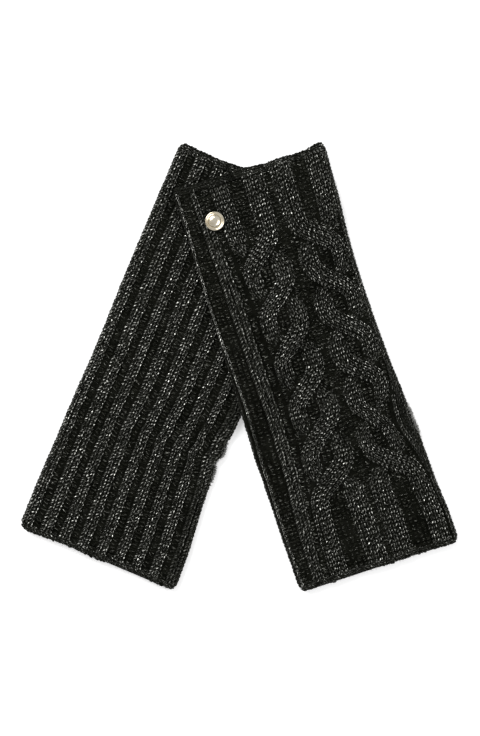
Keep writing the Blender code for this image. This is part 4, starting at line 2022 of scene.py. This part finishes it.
    def rippled(self, shares: Array, along: Array) -> Array:
        """Moves the open ends out and in a little, as soft cloth lies.

        Args:
            shares: Shares of the girth.
            along: Shares of the length.

        Returns:
            The new shares of the length.
        """
        rows, length = self.warmer.ends, self.warmer.length
        wave = np.sin(2 * math.pi * RIPPLE_WAVES * shares + self.seed) * np.sin(math.pi * shares)
        hand, arm = (read_rows(rows, end, shares) + RIPPLE_SIZE * wave for end in ("hand", "arm"))
        near_hand = np.exp(-((1 - along) * length / RIPPLE_REACH))
        near_arm = np.exp(-(along * length / RIPPLE_REACH))
        return along + (hand * near_hand - arm * near_arm) / length

    def make_fibres(self) -> Thing:
        """Makes the fine fibres that stand off the folds, the ends and the face."""
        part = 1.0 if self.layer is Layer.UPPER else HIDDEN_FIBRE_SHARE
        shares, along = [], []
        for zone in FIBRE_ZONES:
            count = round(zone.count * part)
            shares.append(self.random.uniform(*zone.across, count))
            along.append(self.random.uniform(*zone.along, count))
        name, fibre, finish = f"{self.name}_fibres", self.kit.fibre, WISP_YARN.name
        roots = np.concatenate(shares), np.concatenate(along)
        return self.stand_fibres(name, roots, fibre, finish, FIBRE_SIZES)

    def make_slit_fibres(self) -> Thing:
        """Makes the clumps of paler, longer fibres at the thumb slit."""
        wisps = self.warmer.wisps
        spread = self.random.normal(0.0, WISP_SPREAD_ACROSS, len(wisps) * WISP_COUNT)
        clumps = [self.random.normal(wisp.middle, wisp.spread, WISP_COUNT) for wisp in wisps]
        name, fibre, finish = f"{self.name}_slit_fibres", self.kit.slit_fibre, PALE_YARN.name
        roots = 1 - np.abs(spread), np.concatenate(clumps)
        return self.stand_fibres(name, roots, fibre, finish, WISP_SIZES)

    def stand_fibres(
        self, name: str, places: tuple[Array, Array], fibre: Thing, finish: str, sizes: tuple[float, float]
    ) -> Thing:
        """Stands fibres on points of the panel's face, leaning out at the open ends.

        Args:
            name: The new piece's name.
            places: The roots' shares of the girth, and of the length.
            fibre: The fibre's template.
            finish: The name of the fibres' finish.
            sizes: The smallest and the largest size, as shares of the template's.

        Returns:
            The piece.
        """
        shares, along = places
        girth = self.form.girth(along) * shares
        height = self.relief(girth, along)
        roots = self.form.place(girth, along, height + 0.2 * MM)
        normals = self.form.place(girth, along, height + 0.7 * MM) - roots
        normals /= np.linalg.norm(normals, axis=1, keepdims=True)
        end_way = np.array(self.warmer.hand_left) - np.array(self.warmer.arm_left)
        end_way = np.append(end_way / np.linalg.norm(end_way), 0.0)
        at_hand, at_arm = along > 1 - END_ZONE, along < END_ZONE
        leaning = np.where(at_hand, END_LEAN, 0.0) - np.where(at_arm, END_LEAN, 0.0)
        normals = normals + leaning[:, None] * end_way
        normals /= np.linalg.norm(normals, axis=1, keepdims=True)
        mesh = bpy.data.meshes.new(f"{name}_roots")
        mesh.from_pydata(roots.tolist(), [], [])
        store(mesh, "lie", "FLOAT_VECTOR", normals)
        values = {
            "Fibre": fibre,
            "Finish": self.kit.finishes[finish],
            "Turn": 0.9,
            "Shortest": sizes[0],
            "Longest": sizes[1],
            "Seed": self.seed + FIBRE_SEED_STEP,
        }
        return self.kit.run_tree(new_object(f"{name}_roots", mesh), self.kit.fibres, name, values)

    def rest(self, piece: Thing) -> None:
        """Presses a piece flat where it would pass into what the warmer lies on."""
        mesh = piece.data
        values = np.empty(len(mesh.vertices) * 3, dtype=np.float32)
        mesh.vertices.foreach_get("co", values)
        points = values.reshape(-1, 3).astype(float)
        least = self.warmer.lift(points[:, :2]) + TABLE_CLEARANCE
        points[:, 2] = np.maximum(points[:, 2], least)
        mesh.vertices.foreach_set("co", points.astype(np.float32).ravel())
        mesh.update()

    def build(self) -> None:
        """Makes the whole panel in place of its CAD parts, and logs each piece."""
        ground = self.make_ground()
        pieces = [ground, self.make_stitches(), self.make_purl(), self.make_fibres()]
        if self.layer is Layer.UPPER:
            pieces.append(self.make_slit_fibres())
        slots = [f"{self.pattern.value}_knit"] * len(pieces)
        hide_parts(f"{self.name}_panel")
        for end in End:
            cloth, loops = self.make_welt_cloth(end), self.make_welt_loops(end)
            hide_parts(self.welt_name(end))
            pieces += [cloth, loops]
            slots += ["welt_knit"] * 2
        for piece, slot in zip(pieces, slots):
            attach(piece, "root")
            self.rest(piece)
            report(piece)
        start, end_share = self.warmer.body_range
        flat = round(self.form.middle_girth(), 4), round((end_share - start) * self.warmer.length, 4)
        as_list(pieces[1:])


def report(piece: Thing) -> None:
    """Logs a piece's name and its triangle count."""
    piece.data.calc_loop_triangles()
    log.info("%s: %d triangles", piece.name, len(piece.data.loop_triangles))


# The stud's outline from the top of its dome to its flat back, in millimetres
STUD_OUTLINE = (
    (0.0, 3.0), (0.7, 2.98), (1.4, 2.92), (2.1, 2.81), (2.7, 2.67), (3.15, 2.50),
    (3.45, 2.30), (3.70, 2.04), (3.90, 1.72), (4.08, 1.36), (4.25, 1.02), (4.42, 0.78),
    (4.65, 0.62), (4.90, 0.60), (5.10, 0.70), (5.28, 0.84), (5.50, 0.92), (5.72, 0.88),
    (5.90, 0.74), (6.0, 0.50), (5.95, 0.25), (5.75, 0.08), (5.4, 0.0), (0.0, 0.0),
)


@dataclass(frozen=True)
class Stud:
    """A plain round domed stud on the over warmer."""

    kit: Kit
    steps: int = 96

    def build(self) -> None:
        """Turns the stud's outline round its axis."""
        low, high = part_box("metal_stud")
        centre = (low + high) / 2
        points, rings = [], []
        for radius, height in STUD_OUTLINE:
            count = self.steps if radius else 1
            rings.append(list(range(len(points), len(points) + count)))
            for k in range(count):
                angle = 2 * math.pi * k / self.steps
                points.append((radius * math.cos(angle), radius * math.sin(angle), height))
        faces = []
        for one, two in zip(rings, rings[1:]):
            for k in range(self.steps):
                j = (k + 1) % self.steps
                corners = one[k % len(one)], one[j % len(one)], two[j % len(two)], two[k % len(two)]
                faces.append(list(dict.fromkeys(corners)))
        placed = np.array(points) * MM + np.array((centre.x, centre.y, low.z))
        piece = new_object("stud", new_mesh("stud", placed, faces))
        piece.data.materials.append(self.kit.finishes[STUD_METAL.name])
        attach(piece, "root")
        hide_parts("metal_stud")
        report(piece)


@dataclass(frozen=True)
class Light:
    """A soft square light aimed at the middle of the pair."""

    name: str
    place: tuple[float, float, float]
    size: float
    power: float

    def build(self) -> None:
        """Makes the light."""
        light = bpy.data.lights.new(self.name, "AREA")
        light.size = self.size
        light.energy = self.power
        holder = bpy.data.objects.new(self.name, light)
        bpy.context.scene.collection.objects.link(holder)
        holder.location = self.place
        holder.rotation_euler = Vector(self.place).to_track_quat("Z", "Y").to_euler()


@dataclass(frozen=True)
class Studio:
    """The pale table, the soft lights and the camera over it."""

    centre: tuple[float, float] = (0.35 * MM, -0.5 * MM)
    frame_height: float = 463.7 * MM
    lens: float = 100.0
    sensor: float = 36.0
    cloth_height: float = 3.0 * MM
    floor_half: float = 3.0
    paper_shade: float = 0.9
    paper_glow: float = 0.35
    sky: float = 0.55
    lights: tuple[Light, ...] = (
        Light("key", (-0.7, 0.9, 1.1), 1.0, 22.0),
        Light("fill", (0.9, -0.3, 1.2), 1.2, 8.0),
    )

    def build(self) -> None:
        """Makes the floor, the world, the lights and the camera."""
        scene = bpy.context.scene
        scene.view_settings.view_transform = "Standard"
        self.make_floor()
        world = bpy.data.worlds.new("studio")
        world.use_nodes = True
        background = world.node_tree.nodes["Background"]
        background.inputs["Color"].default_value = (1.0, 1.0, 1.0, 1)
        background.inputs["Strength"].default_value = self.sky
        scene.world = world
        for light in self.lights:
            light.build()
        camera = bpy.data.cameras.new("camera")
        camera.lens = self.lens
        camera.sensor_fit = "VERTICAL"
        camera.sensor_height = self.sensor
        camera.clip_start = 0.05
        holder = bpy.data.objects.new("camera", camera)
        scene.collection.objects.link(holder)
        distance = self.frame_height / self.sensor * self.lens
        holder.location = (*self.centre, distance + self.cloth_height)
        scene.camera = holder

    def make_floor(self) -> None:
        """Makes the pale table."""
        far = self.floor_half
        corners = [(-far, -far, 0), (far, -far, 0), (far, far, 0), (-far, far, 0)]
        mesh = bpy.data.meshes.new("floor")
        mesh.from_pydata(corners, [], [(0, 1, 2, 3)])
        floor = new_object("floor", mesh)
        paper, build, shader = NodeBuilder.material("paper")
        build.give(shader, "Base Color", (*[self.paper_shade] * 3, 1))
        build.give(shader, "Roughness", 1.0)
        build.give(shader, "Specular IOR Level", 0.0)
        build.give(shader, "Emission Color", (1, 1, 1, 1))
        build.give(shader, "Emission Strength", self.paper_glow)
        floor.data.materials.append(paper)


def main() -> None:
    logging.basicConfig(level=logging.INFO, format="%(message)s")
    Studio().build()
    kit = Kit.make()
    plan = (
        (UNDER, Pattern.CABLE, Layer.LOWER, 11),
        (UNDER, Pattern.RIB, Layer.UPPER, 23),
        (OVER, Pattern.RIB, Layer.LOWER, 37),
        (OVER, Pattern.CABLE, Layer.UPPER, 53),
    )
    for warmer, pattern, layer, seed in plan:
        Panel(warmer, pattern, layer, kit, seed).build()
    Stud(kit).build()
    kit.clear_templates()


if __name__ == "__main__":
    main()
